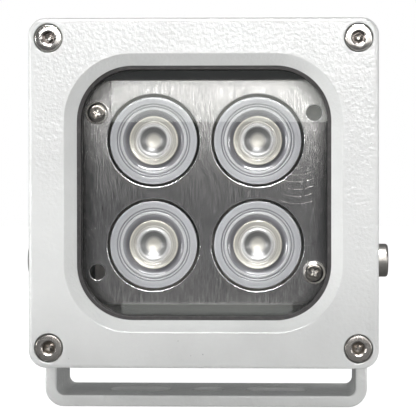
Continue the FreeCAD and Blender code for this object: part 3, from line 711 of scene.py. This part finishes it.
# Dark steel whose light recess colour paints a highlight into the cross.
DULL_STEEL = TurnedSteel("dull steel", (0.26, 0.24, 0.22), (0.85, 0.82, 0.78), 0.12)
PLAIN_STEEL = BareMetal("plain steel", (0.58, 0.565, 0.55), 0.26, 0.14, 0.008, blotch_mm=3.0)
BLACK_RUBBER = Rubber("black rubber")
PANE_GLASS = ClearPane("pane glass")
LENS_PLASTIC = LensPlastic("lens plastic")
HOLDER_PLASTIC = MouldedPlastic("holder plastic", (0.018, 0.018, 0.019))
GLAND_PLASTIC = MouldedPlastic("gland plastic", (0.028, 0.028, 0.029))
CHIP_PLASTIC = MouldedPlastic("chip plastic", (0.022, 0.022, 0.024), 0.5, 0.15)
TERMINAL_PLASTIC = MouldedPlastic("terminal plastic", (0.02, 0.16, 0.05), 0.4)
NYLON = MouldedPlastic("washer nylon", (0.72, 0.71, 0.66), 0.4)
LED_BOARD = CircuitBoard("led board mask", (0.60, 0.57, 0.55), (0.70, 0.67, 0.64))
DRIVER_BOARD = CircuitBoard("driver board mask", (0.01, 0.10, 0.035), (0.03, 0.17, 0.06))
ALUMINIUM = BareMetal(
    "milled aluminium", (0.66, 0.66, 0.67), 0.3, 0.12, 0.006, darker=0.85, grain=(160.0, 300.0, 3200.0)
)
FERRITE = WoundFerrite("wound ferrite")
LED_PACKAGE = LedPackage("led package")
BRASS = BareMetal("plated brass", (0.80, 0.66, 0.34), 0.2, 0.15, 0.004, detail=(3.0, 0.5))


class Bench:
    """Models one piece with Blender's own tools."""

    def __init__(self, name: str) -> None:
        """Clears the selection and notes the piece's name."""
        self.name = name
        self.piece: Optional[Piece] = None
        bpy.ops.object.select_all(action="DESELECT")

    def _start(self) -> None:
        """Takes the new primitive as the piece and opens it for editing."""
        self.piece = bpy.context.object
        self.piece.name = self.name
        self.piece.data.name = self.name
        bpy.ops.object.mode_set(mode="EDIT")
        bpy.ops.mesh.select_mode(type="VERT")
        bpy.ops.mesh.select_all(action="SELECT")

    def cylinder(self, radius: float, depth: float, centre: Place, sides: int) -> None:
        """Starts from a cylinder along +Z."""
        bpy.ops.mesh.primitive_cylinder_add(vertices=sides, radius=radius, depth=depth, location=centre)
        self._start()

    def cone(self, base_r: float, top_r: float, depth: float, centre: Place, sides: int) -> None:
        """Starts from a cone along +Z, base below."""
        bpy.ops.mesh.primitive_cone_add(
            vertices=sides, radius1=base_r, radius2=top_r, depth=depth, location=centre
        )
        self._start()

    def cube(self, size: Place, centre: Place) -> None:
        """Starts from a block."""
        bpy.ops.mesh.primitive_cube_add(size=1.0, location=centre)
        self._start()
        bpy.ops.transform.resize(value=size, center_override=centre)

    def lathe(self, outline: Sequence[Point], steps: int) -> None:
        """Turns an open outline of (radius, height) points round +Z.

        Args:
            outline: The points, from the axis out and back to the axis.
            steps: Number of steps in the full turn.
        """
        bpy.ops.mesh.primitive_plane_add(size=MM, location=(0.0, 0.0, 0.0))
        self._start()
        bpy.ops.mesh.merge(type="CENTER")
        bpy.ops.transform.translate(value=(outline[0][0], 0.0, outline[0][1]))
        for (from_r, from_z), (to_r, to_z) in zip(outline, outline[1:]):
            move = {"value": (to_r - from_r, 0.0, to_z - from_z)}
            bpy.ops.mesh.extrude_region_move(TRANSFORM_OT_translate=move)
        bpy.ops.mesh.select_all(action="SELECT")
        bpy.ops.mesh.spin(steps=steps, angle=math.tau, center=(0.0, 0.0, 0.0), axis=(0.0, 0.0, 1.0))
        bpy.ops.mesh.select_all(action="SELECT")
        bpy.ops.mesh.remove_doubles(threshold=0.002 * MM)
        bpy.ops.mesh.normals_make_consistent(inside=False)

    def pick_top(self) -> None:
        """Selects the faces that look along +Z."""
        bpy.ops.mesh.select_mode(type="FACE")
        mesh = bmesh.from_edit_mesh(self.piece.data)
        for face in mesh.faces:
            face.select_set(face.normal.z > 0.9)
        bmesh.update_edit_mesh(self.piece.data)

    def pick_rim(self, height: float) -> None:
        """Selects the edges that lie below a height."""
        bpy.ops.mesh.select_mode(type="EDGE")
        mesh = bmesh.from_edit_mesh(self.piece.data)
        to_frame = self.piece.matrix_world
        for edge in mesh.edges:
            edge.select_set(all((to_frame @ corner.co).z < height for corner in edge.verts))
        mesh.select_flush_mode()
        bmesh.update_edit_mesh(self.piece.data)

    @staticmethod
    def inset(width: float) -> None:
        """Draws the selected faces in by a width."""
        bpy.ops.mesh.inset(thickness=width, depth=0.0)

    @staticmethod
    def push(move: Place) -> None:
        """Extrudes the selected faces."""
        bpy.ops.mesh.extrude_region_move(TRANSFORM_OT_translate={"value": move})

    @staticmethod
    def round_off(width: float, segments: int) -> None:
        """Bevels the selected edges."""
        bpy.ops.mesh.bevel(offset=width, offset_type="OFFSET", segments=segments, profile=0.5)

    @staticmethod
    def shrink(share: float, centre: Place) -> None:
        """Scales what is selected about a centre."""
        bpy.ops.transform.resize(value=(share, share, share), center_override=centre)

    def done(self) -> Piece:
        """Closes the piece with its place in its mesh.

        Returns:
            The piece.
        """
        bpy.ops.object.mode_set(mode="OBJECT")
        bpy.ops.object.transform_apply(location=True, rotation=True, scale=True)
        return self.piece


def pick(piece: Piece) -> None:
    """Makes a piece the active one and the only one selected."""
    bpy.ops.object.select_all(action="DESELECT")
    bpy.context.view_layer.objects.active = piece
    piece.select_set(True)


class Boolean(Enum):
    """What a boolean does with the second piece."""

    CUT = "DIFFERENCE"
    JOIN = "UNION"


def combine(piece: Piece, tool: Piece, how: Boolean = Boolean.CUT) -> None:
    """Cuts or joins a piece with another, which is then removed."""
    pick(piece)
    modifier = piece.modifiers.new("combine", "BOOLEAN")
    modifier.operation = how.value
    modifier.solver = "EXACT"
    modifier.object = tool
    bpy.ops.object.modifier_apply(modifier=modifier.name)
    bpy.data.objects.remove(tool)


def smooth(piece: Piece, degrees: float = 32.0) -> None:
    """Shades a piece smooth except across sharper edges."""
    pick(piece)
    bpy.ops.object.shade_smooth_by_angle(angle=math.radians(degrees))


def mark_rings(
    piece: Piece, recess_r: float = 0.0, floor_r: float = 0.0, top: float = 0.0
) -> None:
    """Notes each point's distance from the +Z axis and whether it lies on the walls of a recess.

    Args:
        piece: The piece, at the origin.
        recess_r: Radius that holds the recess; 0 for none.
        floor_r: Radius of its floor, which is left unpainted.
        top: Height of the surface it is sunk into.
    """
    below = 0.2 * MM
    points = [corner.co for corner in piece.data.vertices]
    radii = [math.hypot(point.x, point.y) for point in points]
    sunk = [
        float(floor_r < radius < recess_r and point.z > top + below)
        for radius, point in zip(radii, points)
    ]
    for name, values in ((RING, radii), (SUNK, sunk)):
        attribute = piece.data.attributes.new(name, "FLOAT", "POINT")
        attribute.data.foreach_set("value", values)


def set_down(
    master: Piece, name: str, place: Place, axis: Axis, finish: Finish, spin: float = 0.0
) -> Piece:
    """Copies a piece that was modelled along +Z to where it belongs.

    Args:
        master: The piece, modelled at the origin.
        name: Name of the copy.
        place: Where its origin goes, in metres.
        axis: Where its +Z goes.
        finish: What it wears all over.
        spin: Turn about its own axis, in radians.

    Returns:
        The copy, with its place in its mesh.
    """
    copy = master.copy()
    copy.data = master.data.copy()
    copy.name = name
    copy.data.name = name
    bpy.context.scene.collection.objects.link(copy)
    turn = Euler(axis.value).to_matrix().to_4x4() @ Matrix.Rotation(spin, 4, "Z")
    copy.matrix_basis = Matrix.Translation(place) @ turn
    pick(copy)
    bpy.ops.object.transform_apply(location=True, rotation=True, scale=True)
    copy.data.materials.append(finish.material())
    log.info("%s: %s", name, finish.name)
    return copy


def dress(node: str, finish: Finish) -> None:
    """Gives a node of the frame its finish."""
    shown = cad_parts[node]
    if not shown.material_slots:
        shown.data.materials.append(finish.material())
    for slot in shown.material_slots:
        slot.material = finish.material()
    log.info("%s: %s", node, finish.name)


def arc(centre: Point, radius: float, start: float, end: float, steps: int) -> list[Point]:
    """Points along an arc of an outline, both ends included; angles are in degrees."""
    angles = [math.radians(start + (end - start) * step / steps) for step in range(steps + 1)]
    return [(centre[0] + radius * math.cos(a), centre[1] + radius * math.sin(a)) for a in angles]


def node_middle(node: str) -> Vector:
    """Middle of a node's box."""
    low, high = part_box(node)
    return (low + high) / 2


@dataclass
class Screw:
    """A screw along +Z, its head's underside at the origin. Sizes in millimetres."""

    head_r: float
    head_height: float
    shank_r: float
    shank_length: float

    def rounding(self) -> tuple[float, int]:
        """Width and steps of the head's rounded edge."""
        raise NotImplementedError

    def soiled(self) -> Point:
        """Radius that holds the painted recess, and radius of its floor, which is left unpainted."""
        raise NotImplementedError

    def recess(self, top: float) -> Iterator[Piece]:
        """The pieces that cut the recess, one at a time, given the height of the head's top."""
        raise NotImplementedError

    def model(self, name: str) -> Piece:
        """Models the screw.

        Args:
            name: The piece's name.

        Returns:
            The piece, at the origin.
        """
        top = -self.head_height * MM
        width, steps = self.rounding()
        bench = Bench(name)
        bench.cylinder(self.head_r * MM, self.head_height * MM, (0.0, 0.0, top / 2), SCREW_SIDES)
        bench.pick_rim(top * 0.99)
        bench.round_off(width * MM, steps)
        bench.pick_top()
        bench.inset((self.head_r - self.shank_r) * MM)
        bench.push((0.0, 0.0, self.shank_length * MM))
        screw = bench.done()
        for tool in self.recess(top):
            combine(screw, tool)
        smooth(screw)
        recess_r, floor_r = self.soiled()
        mark_rings(screw, recess_r * MM, floor_r * MM, top)
        return screw


@dataclass
class SocketScrew(Screw):
    """A socket-head screw."""

    key: float
    key_depth: float
    rim: float = 0.4
    mouth_depth: float = 0.35
    mouth_flare: float = 1.18
    drill_share: float = 0.3

    def rounding(self) -> tuple[float, int]:
        """Width and steps of the head's rounded edge."""
        return self.rim, 4

    def soiled(self) -> Point:
        """Radius that holds the painted socket, and radius of its floor, which is left unpainted."""
        return 0.62 * self.key, 0.3 * self.key

    def recess(self, top: float) -> Iterator[Piece]:
        """The key hole's cutter: hexagon, drill point and opened mouth."""
        over = 1.0
        reach = self.key / math.sqrt(3.0)
        middle = top + (self.key_depth - over) / 2 * MM
        bench = Bench("key_hole")
        bench.cylinder(reach * MM, (self.key_depth + over) * MM, (0.0, 0.0, middle), 6)
        bench.pick_top()
        bench.inset(0.12 * self.key * MM)
        bench.push((0.0, 0.0, 0.25 * self.key_depth * MM))
        bench.shrink(self.drill_share, (0.0, 0.0, top + 1.25 * self.key_depth * MM))
        hexagon = bench.done()
        bench = Bench("mouth")
        flare = reach * self.mouth_flare * MM
        middle = top + (self.mouth_depth / 2 - 0.02) * MM
        bench.cone(flare, self.key / 2 * MM, self.mouth_depth * MM, (0.0, 0.0, middle), SCREW_SIDES)
        combine(hexagon, bench.done(), Boolean.JOIN)
        yield hexagon


@dataclass
class CrossScrew(Screw):
    """A cross-recessed pan-head screw."""

    wing_length: float = 3.3
    wing_width: float = 0.85
    wing_depth: float = 1.25
    wing_taper: float = 0.55

    def rounding(self) -> tuple[float, int]:
        """Width and steps of the head's rounded edge."""
        return 0.62 * self.head_height, 7

    def soiled(self) -> Point:
        """Radius that holds the painted cross; no floor is left unpainted."""
        return self.wing_length, 0.0

    def recess(self, top: float) -> Iterator[Piece]:
        """The two tapered wings of the cross's cutter."""
        over = 0.3
        deep = self.wing_depth + over
        for length, width in ((self.wing_length, self.wing_width), (self.wing_width, self.wing_length)):
            bench = Bench("wing")
            bench.cube((length * MM, width * MM, deep * MM), (0.0, 0.0, top + (deep / 2 - over) * MM))
            bench.pick_top()
            bench.shrink(self.wing_taper, (0.0, 0.0, top + self.wing_depth * MM))
            yield bench.done()


@dataclass
class CollimatorLens:
    """One moulded lens, its front at the origin and its foot towards +Z. Sizes in millimetres."""

    radius: float = 11.5
    flange: float = 1.6
    neck_r: float = 10.3
    waist_inset: float = 3.1
    foot_r: float = 4.8
    height: float = 12.2
    pocket_r: float = 3.0
    pocket_depth: float = 4.0
    dome: float = 1.0
    bowl_r: float = 3.5
    bowl_depth: float = 1.5
    bead_r: float = 0.34
    disc_r: float = 6.4
    trough: float = 1.15
    rim_r: float = 8.0
    outer_bead_r: float = 0.42
    step_r: float = 9.6
    steps: int = 96

    def outline(self) -> list[Point]:
        """The lens's half section.

        Returns:
            (radius, depth) points in millimetres, from the middle of the bowl round to the pocket.
        """
        ball = (self.bowl_r**2 + self.bowl_depth**2) / (2 * self.bowl_depth)
        reach = math.degrees(math.asin(self.bowl_r / ball))
        bowl_top = 0.45
        bowl = arc((0.0, bowl_top + self.bowl_depth - ball), ball, 90.0, 90.0 - reach, 12)
        bead = arc((self.bowl_r + self.bead_r + 0.05, 0.5), self.bead_r, 190.0, 350.0, 8)
        disc = [(4.45, 0.62), (4.7, 0.5), (5.0, 0.46), (5.1, 0.52), (5.2, 0.44), (5.9, 0.3)]
        edge = arc((6.22, 0.42), 0.18, 230.0, 360.0, 5)
        hollow = [(self.disc_r + 0.03, self.trough), (6.9, 1.08), (7.4, 0.85), (7.8, 0.6)]
        rim = arc((self.rim_r + self.outer_bead_r, 0.55), self.outer_bead_r, 190.0, 345.0, 8)
        terrace = [(8.95, 0.62), (9.02, 0.42), (9.12, 0.36), (9.45, 0.34), (9.55, 0.42), (self.step_r, 0.5)]
        flange = arc((9.86, 0.2), 0.2, 190.0, 270.0, 3)
        flange += arc((self.radius - 0.18, 0.18), 0.18, 270.0, 360.0, 4)
        side = [(self.radius, self.flange), (self.neck_r, self.flange)]
        flank = self._flank()
        pocket_front = self.height - self.pocket_depth
        pocket = [
            (self.pocket_r, self.height),
            (self.pocket_r, pocket_front),
            (1.6, pocket_front + 0.72 * self.dome),
            (0.0, pocket_front + self.dome),
        ]
        return bowl + bead + disc + edge + hollow + rim + terrace + flange + side + flank + pocket

    def _flank(self) -> list[Point]:
        """Points of the curved reflector flank, from the neck to the foot."""
        count = 10
        middle = ((self.radius - self.waist_inset), (self.flange + self.height) / 2)
        points = []
        for step in range(1, count + 1):
            t = step / count
            start = (1 - t) * (1 - 2 * t)
            halfway = 4 * t * (1 - t)
            end = t * (2 * t - 1)
            across = start * self.neck_r + halfway * middle[0] + end * self.foot_r
            along = start * self.flange + halfway * middle[1] + end * self.height
            points.append((across, along))
        return points

    def model(self, name: str) -> Piece:
        """Models the lens.

        Args:
            name: The piece's name.

        Returns:
            The piece, at the origin.
        """
        bench = Bench(name)
        bench.lathe([(r * MM, depth * MM) for r, depth in self.outline()], self.steps)
        lens = bench.done()
        smooth(lens, 40.0)
        mark_rings(lens)
        return lens


@dataclass
class Bezel:
    """Front frame with its seal and four corner screws."""

    screw_pitch_mm: float = 79.6
    seat_mm: float = 4.3

    def build(self) -> None:
        """Dresses the frame and sets the screws."""
        dress("front_bezel", WHITE_PAINT)
        dress("cover_seal", BLACK_RUBBER)
        low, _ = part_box("front_bezel")
        centre = node_middle("front_bezel")
        master = SocketScrew(3.5, 4.0, 2.0, 6.0, 3.0, 2.0).model("cover_screw")
        half = self.screw_pitch_mm / 2 * MM
        corners = [(-half, half), (half, half), (-half, -half), (half, -half)]
        for number, (x, z) in enumerate(corners, start=1):
            place = (x, low.y + self.seat_mm * MM, centre.z + z)
            # The lower screws take the darker copy of the steel: painted shade.
            steel = TURNED_STEEL if z > 0 else LOWER_SCREW_SHADED_STEEL
            screw = set_down(master, "cover_screw_%d" % number, place, Axis.BACKWARDS, steel)
            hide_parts("cover_screws")
            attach(screw, Body.HEAD.value)
        bpy.data.objects.remove(master)


@dataclass
class Window:
    """Glass pane in its rubber channel."""

    def build(self) -> None:
        """Dresses pane and channel."""
        dress("glass_pane", PANE_GLASS)
        dress("glass_gasket", BLACK_RUBBER)


@dataclass
class MaskPlate:
    """Brushed plate with its spacers and two cross-recessed screws."""

    screws_mm: tuple[Point, Point] = ((-28.6, 21.0), (28.6, -21.0))
    turns: Point = (0.35, 1.05)

    def build(self) -> None:
        """Dresses the plate and sets the screws."""
        dress("mask_plate", BRUSHED_PLATE)
        dress("mask_spacers", PLAIN_STEEL)
        low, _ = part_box("mask_plate")
        centre = node_middle("mask_plate")
        master = CrossScrew(3.0, 1.9, 1.5, 8.0).model("mask_screw")
        for number, ((x, z), turn) in enumerate(zip(self.screws_mm, self.turns), start=1):
            place = (x * MM, low.y, centre.z + z * MM)
            screw = set_down(master, "mask_screw_%d" % number, place, Axis.BACKWARDS, DULL_STEEL, turn)
            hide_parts("mask_screws")
            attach(screw, Body.HEAD.value)
        bpy.data.objects.remove(master)


@dataclass
class Optics:
    """Four lenses in their holders over the LEDs."""

    count: int = 4

    def build(self) -> None:
        """Models the lenses and dresses what carries them."""
        master = CollimatorLens().model("collimator")
        for number in range(1, self.count + 1):
            node = "lens_%d" % number
            low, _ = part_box(node)
            middle = node_middle(node)
            place = (middle.x, low.y, middle.z)
            lens = set_down(master, "collimator_%d" % number, place, Axis.BACKWARDS, LENS_PLASTIC)
            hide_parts(node)
            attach(lens, Body.HEAD.value)
            dress("lens_holder_%d" % number, HOLDER_PLASTIC)
            dress("led_%d" % number, LED_PACKAGE)
        bpy.data.objects.remove(master)


@dataclass
class Electronics:
    """Boards, their carrier and the driver's components."""

    def build(self) -> None:
        """Dresses every piece."""
        finishes = {
            "led_board": LED_BOARD,
            "carrier_plate": ALUMINIUM,
            "carrier_screws": PLAIN_STEEL,
            "link_pins": BRASS,
            "driver_board": DRIVER_BOARD,
            "driver_screws": PLAIN_STEEL,
            "driver_coil": FERRITE,
            "driver_capacitors": ALUMINIUM,
            "driver_chip": CHIP_PLASTIC,
            "input_terminal": TERMINAL_PLASTIC,
        }
        for node, finish in finishes.items():
            dress(node, finish)


@dataclass
class Housing:
    """Cast rear body with its cable gland."""

    def build(self) -> None:
        """Dresses the casting and the gland."""
        dress("rear_housing", HOUSING_PAINT)
        dress("gland_body", GLAND_PLASTIC)
        dress("gland_nut", GLAND_PLASTIC)
        dress("gland_ring", BLACK_RUBBER)
        dress("gland_seal", BLACK_RUBBER)


@dataclass
class Bracket:
    """Folded strap with the pivot's bolts and washers."""

    seat_mm: float = 43.8

    def build(self) -> None:
        """Dresses the strap and sets the bolts."""
        dress("bracket", WHITE_PAINT)
        dress("pivot_washers", NYLON)
        dress("pivot_spring_washers", PLAIN_STEEL)
        pivot = node_middle("pivot_bolts")
        master = SocketScrew(4.5, 5.0, 2.5, 10.0, 4.0, 2.5, 0.8).model("pivot_bolt")
        sides = {"pivot_bolt_left": (-1, Axis.RIGHT), "pivot_bolt_right": (1, Axis.LEFT)}
        for name, (side, axis) in sides.items():
            place = (side * self.seat_mm * MM, pivot.y, pivot.z)
            bolt = set_down(master, name, place, axis, RUBBED_STEEL)
            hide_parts("pivot_bolts")
            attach(bolt, Body.HEAD.value)
        bpy.data.objects.remove(master)


@dataclass
class Camera:
    """The camera, placed from where the front face lies in the photograph."""

    picture_px: float = 416.0
    sensor_mm: float = 36.0
    face_centre_px: Point = (203.0, 193.25)
    eye_level_px: Point = (289.0, 174.0)
    px_per_mm: float = 3.911
    distance_mm: float = 400.0
    shift: Point = (-0.10, -0.04)

    def build(self) -> None:
        """Makes the scene's camera."""
        low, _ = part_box("front_bezel")
        face = node_middle("front_bezel")
        focal_px = self.px_per_mm * self.distance_mm
        eye_x = (self.eye_level_px[0] - self.face_centre_px[0]) / self.px_per_mm
        eye_z = (self.face_centre_px[1] - self.eye_level_px[1]) / self.px_per_mm
        aim_x = (self.picture_px / 2 - self.face_centre_px[0]) / self.px_per_mm
        aim_z = (self.face_centre_px[1] - self.picture_px / 2) / self.px_per_mm
        turns = [
            math.atan((aim - eye) / self.distance_mm) - math.atan(shift * self.picture_px / focal_px)
            for aim, eye, shift in ((aim_x, eye_x, self.shift[0]), (aim_z, eye_z, self.shift[1]))
        ]
        bpy.ops.object.camera_add(
            location=(eye_x * MM, low.y - self.distance_mm * MM, face.z + eye_z * MM),
            rotation=(math.pi / 2 + turns[1], 0.0, -turns[0]),
        )
        camera = bpy.context.object
        camera.name = "camera"
        camera.data.sensor_width = self.sensor_mm
        camera.data.lens = focal_px * self.sensor_mm / self.picture_px
        camera.data.shift_x, camera.data.shift_y = self.shift
        camera.data.clip_start = 0.01
        bpy.context.scene.camera = camera


class Reach(Enum):
    """What a lamp does: it shades the surfaces or is mirrored in them."""

    SHADE = "shade"
    MIRROR = "mirror"


@dataclass(frozen=True)
class Lamp:
    """A rectangular lamp; without an aim it looks straight back. A radiance of 1 is as bright as white."""

    name: str
    at: Place
    aim: Optional[Place]
    size: Point
    radiance: float
    tint: Colour
    reach: Reach

    def build(self) -> None:
        """Adds the lamp, hidden from the camera."""
        bpy.ops.object.light_add(type="AREA", location=self.at)
        lamp = bpy.context.object
        lamp.name = self.name
        lamp.data.shape = "RECTANGLE"
        lamp.data.size, lamp.data.size_y = self.size
        lamp.data.energy = self.radiance * math.pi * self.size[0] * self.size[1]
        lamp.data.color = self.tint
        way = Vector(self.aim) - Vector(self.at) if self.aim else Vector((0.0, 1.0, 0.0))
        lamp.rotation_euler = way.to_track_quat("-Z", "Y").to_euler()
        lamp.visible_camera = False
        lamp.visible_glossy = self.reach is Reach.MIRROR
        lamp.visible_diffuse = self.reach is Reach.SHADE


FACE = (0.0, -0.026, 0.057)
WHITE = (1.0, 1.0, 1.0)
WARM = (1.0, 0.985, 0.95)


@dataclass
class Studio:
    """White table top, soft lamps and a dim room in front, seen only in reflections."""

    table_front_m: float = -0.343
    table_back_m: float = 1.4
    table_half_m: float = 0.9
    table_albedo: Point = (0.75, 0.1)
    table_glow: Colour = (0.06, 0.06, 0.06)
    ambient: float = 0.155
    card_y_m: float = -0.9
    card_low_m: float = 0.1045
    room_low_m: float = -1.1
    room_width_m: float = 4.4
    room_tint: Colour = (0.97, 0.97, 1.0)
    bar_m: Point = (0.1383, 0.1525)
    room_light: float = 0.115
    bar_light: float = 0.36
    flag_at_m: Place = (-0.040, -0.10, 0.073)
    flag_size_m: Point = (0.15, 0.022)
    flag_tilt_deg: float = -6.5
    lamps: tuple[Lamp, ...] = (
        Lamp("card", (0.388, -0.9, 0.6273), None, (1.024, 1.0455), 1.88, WARM, Reach.MIRROR),
        Lamp("side card", (-0.172, -0.9, 0.172), None, (0.07, 0.06), 1.4, WHITE, Reach.MIRROR),
        Lamp("low card", (-0.014, -0.30, 0.0025), None, (0.075, 0.005), 1.25, WARM, Reach.MIRROR),
        Lamp("spark", (0.0, -0.86, 0.25), FACE, (0.46, 0.05), 20.0, WHITE, Reach.MIRROR),
        Lamp("ceiling", (-0.05, -0.40, 0.80), FACE, (0.80, 0.12), 80.0, WHITE, Reach.MIRROR),
        Lamp("left strip", (-0.55, -0.35, 0.10), FACE, (0.05, 0.22), 30.0, WHITE, Reach.MIRROR),
        Lamp("right strip", (0.55, -0.35, 0.12), FACE, (0.05, 0.22), 22.0, WHITE, Reach.MIRROR),
        Lamp("key", (-0.30, -0.50, 0.40), FACE, (0.12, 0.12), 37.0, WHITE, Reach.SHADE),
        Lamp("front", (0.0, -0.8, 0.05), FACE, (1.0, 0.25), 0.8, WHITE, Reach.SHADE),
        Lamp("middle", (0.0, -0.8, 0.35), FACE, (1.0, 0.25), 0.3, WHITE, Reach.SHADE),
        Lamp("left", (-0.55, -0.20, 0.12), FACE, (0.4, 0.4), 3.9, WHITE, Reach.SHADE),
        Lamp("right", (0.55, -0.20, 0.12), FACE, (0.4, 0.4), 2.8, WHITE, Reach.SHADE),
        Lamp("rear", (0.25, 0.45, 0.75), FACE, (0.5, 0.5), 3.5, WHITE, Reach.SHADE),
    )

    def build(self) -> None:
        """Makes the table, the room, the lamps and the world."""
        self._table()
        self._dim("room", self.room_low_m, self.card_low_m, self.room_light)
        self._dim("bar", *self.bar_m, self.bar_light)
        self._flag()
        for lamp in self.lamps:
            lamp.build()
        self._world()
        bpy.context.scene.view_settings.view_transform = "Standard"

    @staticmethod
    def _sheet(
        recipe: Recipe, name: str, size: Point, at: Place, turn: Place = (0.0, 0.0, 0.0)
    ) -> Piece:
        """A flat rectangle of the studio.

        Args:
            recipe: What it is made of.
            name: Its name.
            size: Its two sides, in metres.
            at: Its middle.
            turn: Its rotation; it lies flat unturned.

        Returns:
            The rectangle.
        """
        bpy.ops.object.select_all(action="DESELECT")
        bpy.ops.mesh.primitive_plane_add(size=1.0, location=at, rotation=turn)
        sheet = bpy.context.object
        sheet.name = name
        sheet.scale = (*size, 1.0)
        sheet.data.materials.append(recipe.material)
        return sheet

    def _table(self) -> None:
        """White table top that keeps the shadow."""
        recipe = Recipe("table white")
        path = recipe.node("ShaderNodeLightPath")
        eye = Value(recipe, path.socket.node.outputs["Is Camera Ray"])
        mirror = Value(recipe, path.socket.node.outputs["Is Glossy Ray"])
        seen = (eye + mirror).at_most(1.0)
        lit, dim = ((albedo, albedo, albedo) for albedo in self.table_albedo)
        recipe.surface(
            Base_Color=recipe.mix(seen, lit, dim),
            Roughness=0.8,
            Emission_Color=recipe.mix(eye, self.table_glow, WHITE),
            Emission_Strength=1.0,
        )
        size = (2 * self.table_half_m, self.table_back_m - self.table_front_m)
        middle = (0.0, (self.table_back_m + self.table_front_m) / 2, -0.02 * MM)
        table = self._sheet(recipe, "table", size, middle)

    def _dim(self, name: str, low: float, high: float, level: float) -> None:
        """A dim upright sheet just before the card, seen in reflections only."""
        recipe = Recipe(name + " grey")
        black = (0.0, 0.0, 0.0)
        recipe.surface(
            Base_Color=black, Roughness=1.0, Emission_Color=self.room_tint, Emission_Strength=level
        )
        middle = (0.0, self.card_y_m + MM, (low + high) / 2)
        size = (self.room_width_m, high - low)
        sheet = self._sheet(recipe, name, size, middle, (math.pi / 2, 0.0, 0.0))
        sheet.visible_camera = False
        sheet.visible_shadow = False
        sheet.visible_diffuse = False

    def _flag(self) -> None:
        """A black strip that keeps the key lamp off the lowest part of the front."""
        recipe = Recipe("flag black")
        recipe.surface(Base_Color=(0.02, 0.02, 0.02), Roughness=1.0)
        turn = (math.pi / 2, math.radians(self.flag_tilt_deg), 0.0)
        flag = self._sheet(recipe, "flag", self.flag_size_m, self.flag_at_m, turn)
        flag.visible_camera = False
        flag.visible_glossy = False
        flag.visible_transmission = False

    def _world(self) -> None:
        """White to the eye, a soft even light to everything else."""
        world = bpy.data.worlds.new("studio")
        bpy.context.scene.world = world
        world.use_nodes = True
        nodes = world.node_tree.nodes
        links = world.node_tree.links
        shown = nodes["Background"]
        shown.inputs["Color"].default_value = (1.0, 1.0, 1.0, 1.0)
        shown.inputs["Strength"].default_value = 1.0
        light = nodes.new("ShaderNodeBackground")
        light.inputs["Color"].default_value = (0.97, 0.985, 1.0, 1.0)
        light.inputs["Strength"].default_value = self.ambient
        path = nodes.new("ShaderNodeLightPath")
        mix = nodes.new("ShaderNodeMixShader")
        links.new(path.outputs["Is Camera Ray"], mix.inputs[0])
        links.new(light.outputs[0], mix.inputs[1])
        links.new(shown.outputs[0], mix.inputs[2])
        links.new(mix.outputs[0], nodes["World Output"].inputs["Surface"])


def main() -> None:
    """Builds every sub-assembly in order."""
    logging.basicConfig(level=logging.INFO, format="%(name)s %(message)s")
    for kind in (Camera, Studio, Bezel, Window, MaskPlate, Optics, Electronics, Housing, Bracket):
        log.info("building %s", kind.__name__)
        kind().build()


if __name__ == "__main__":
    main()
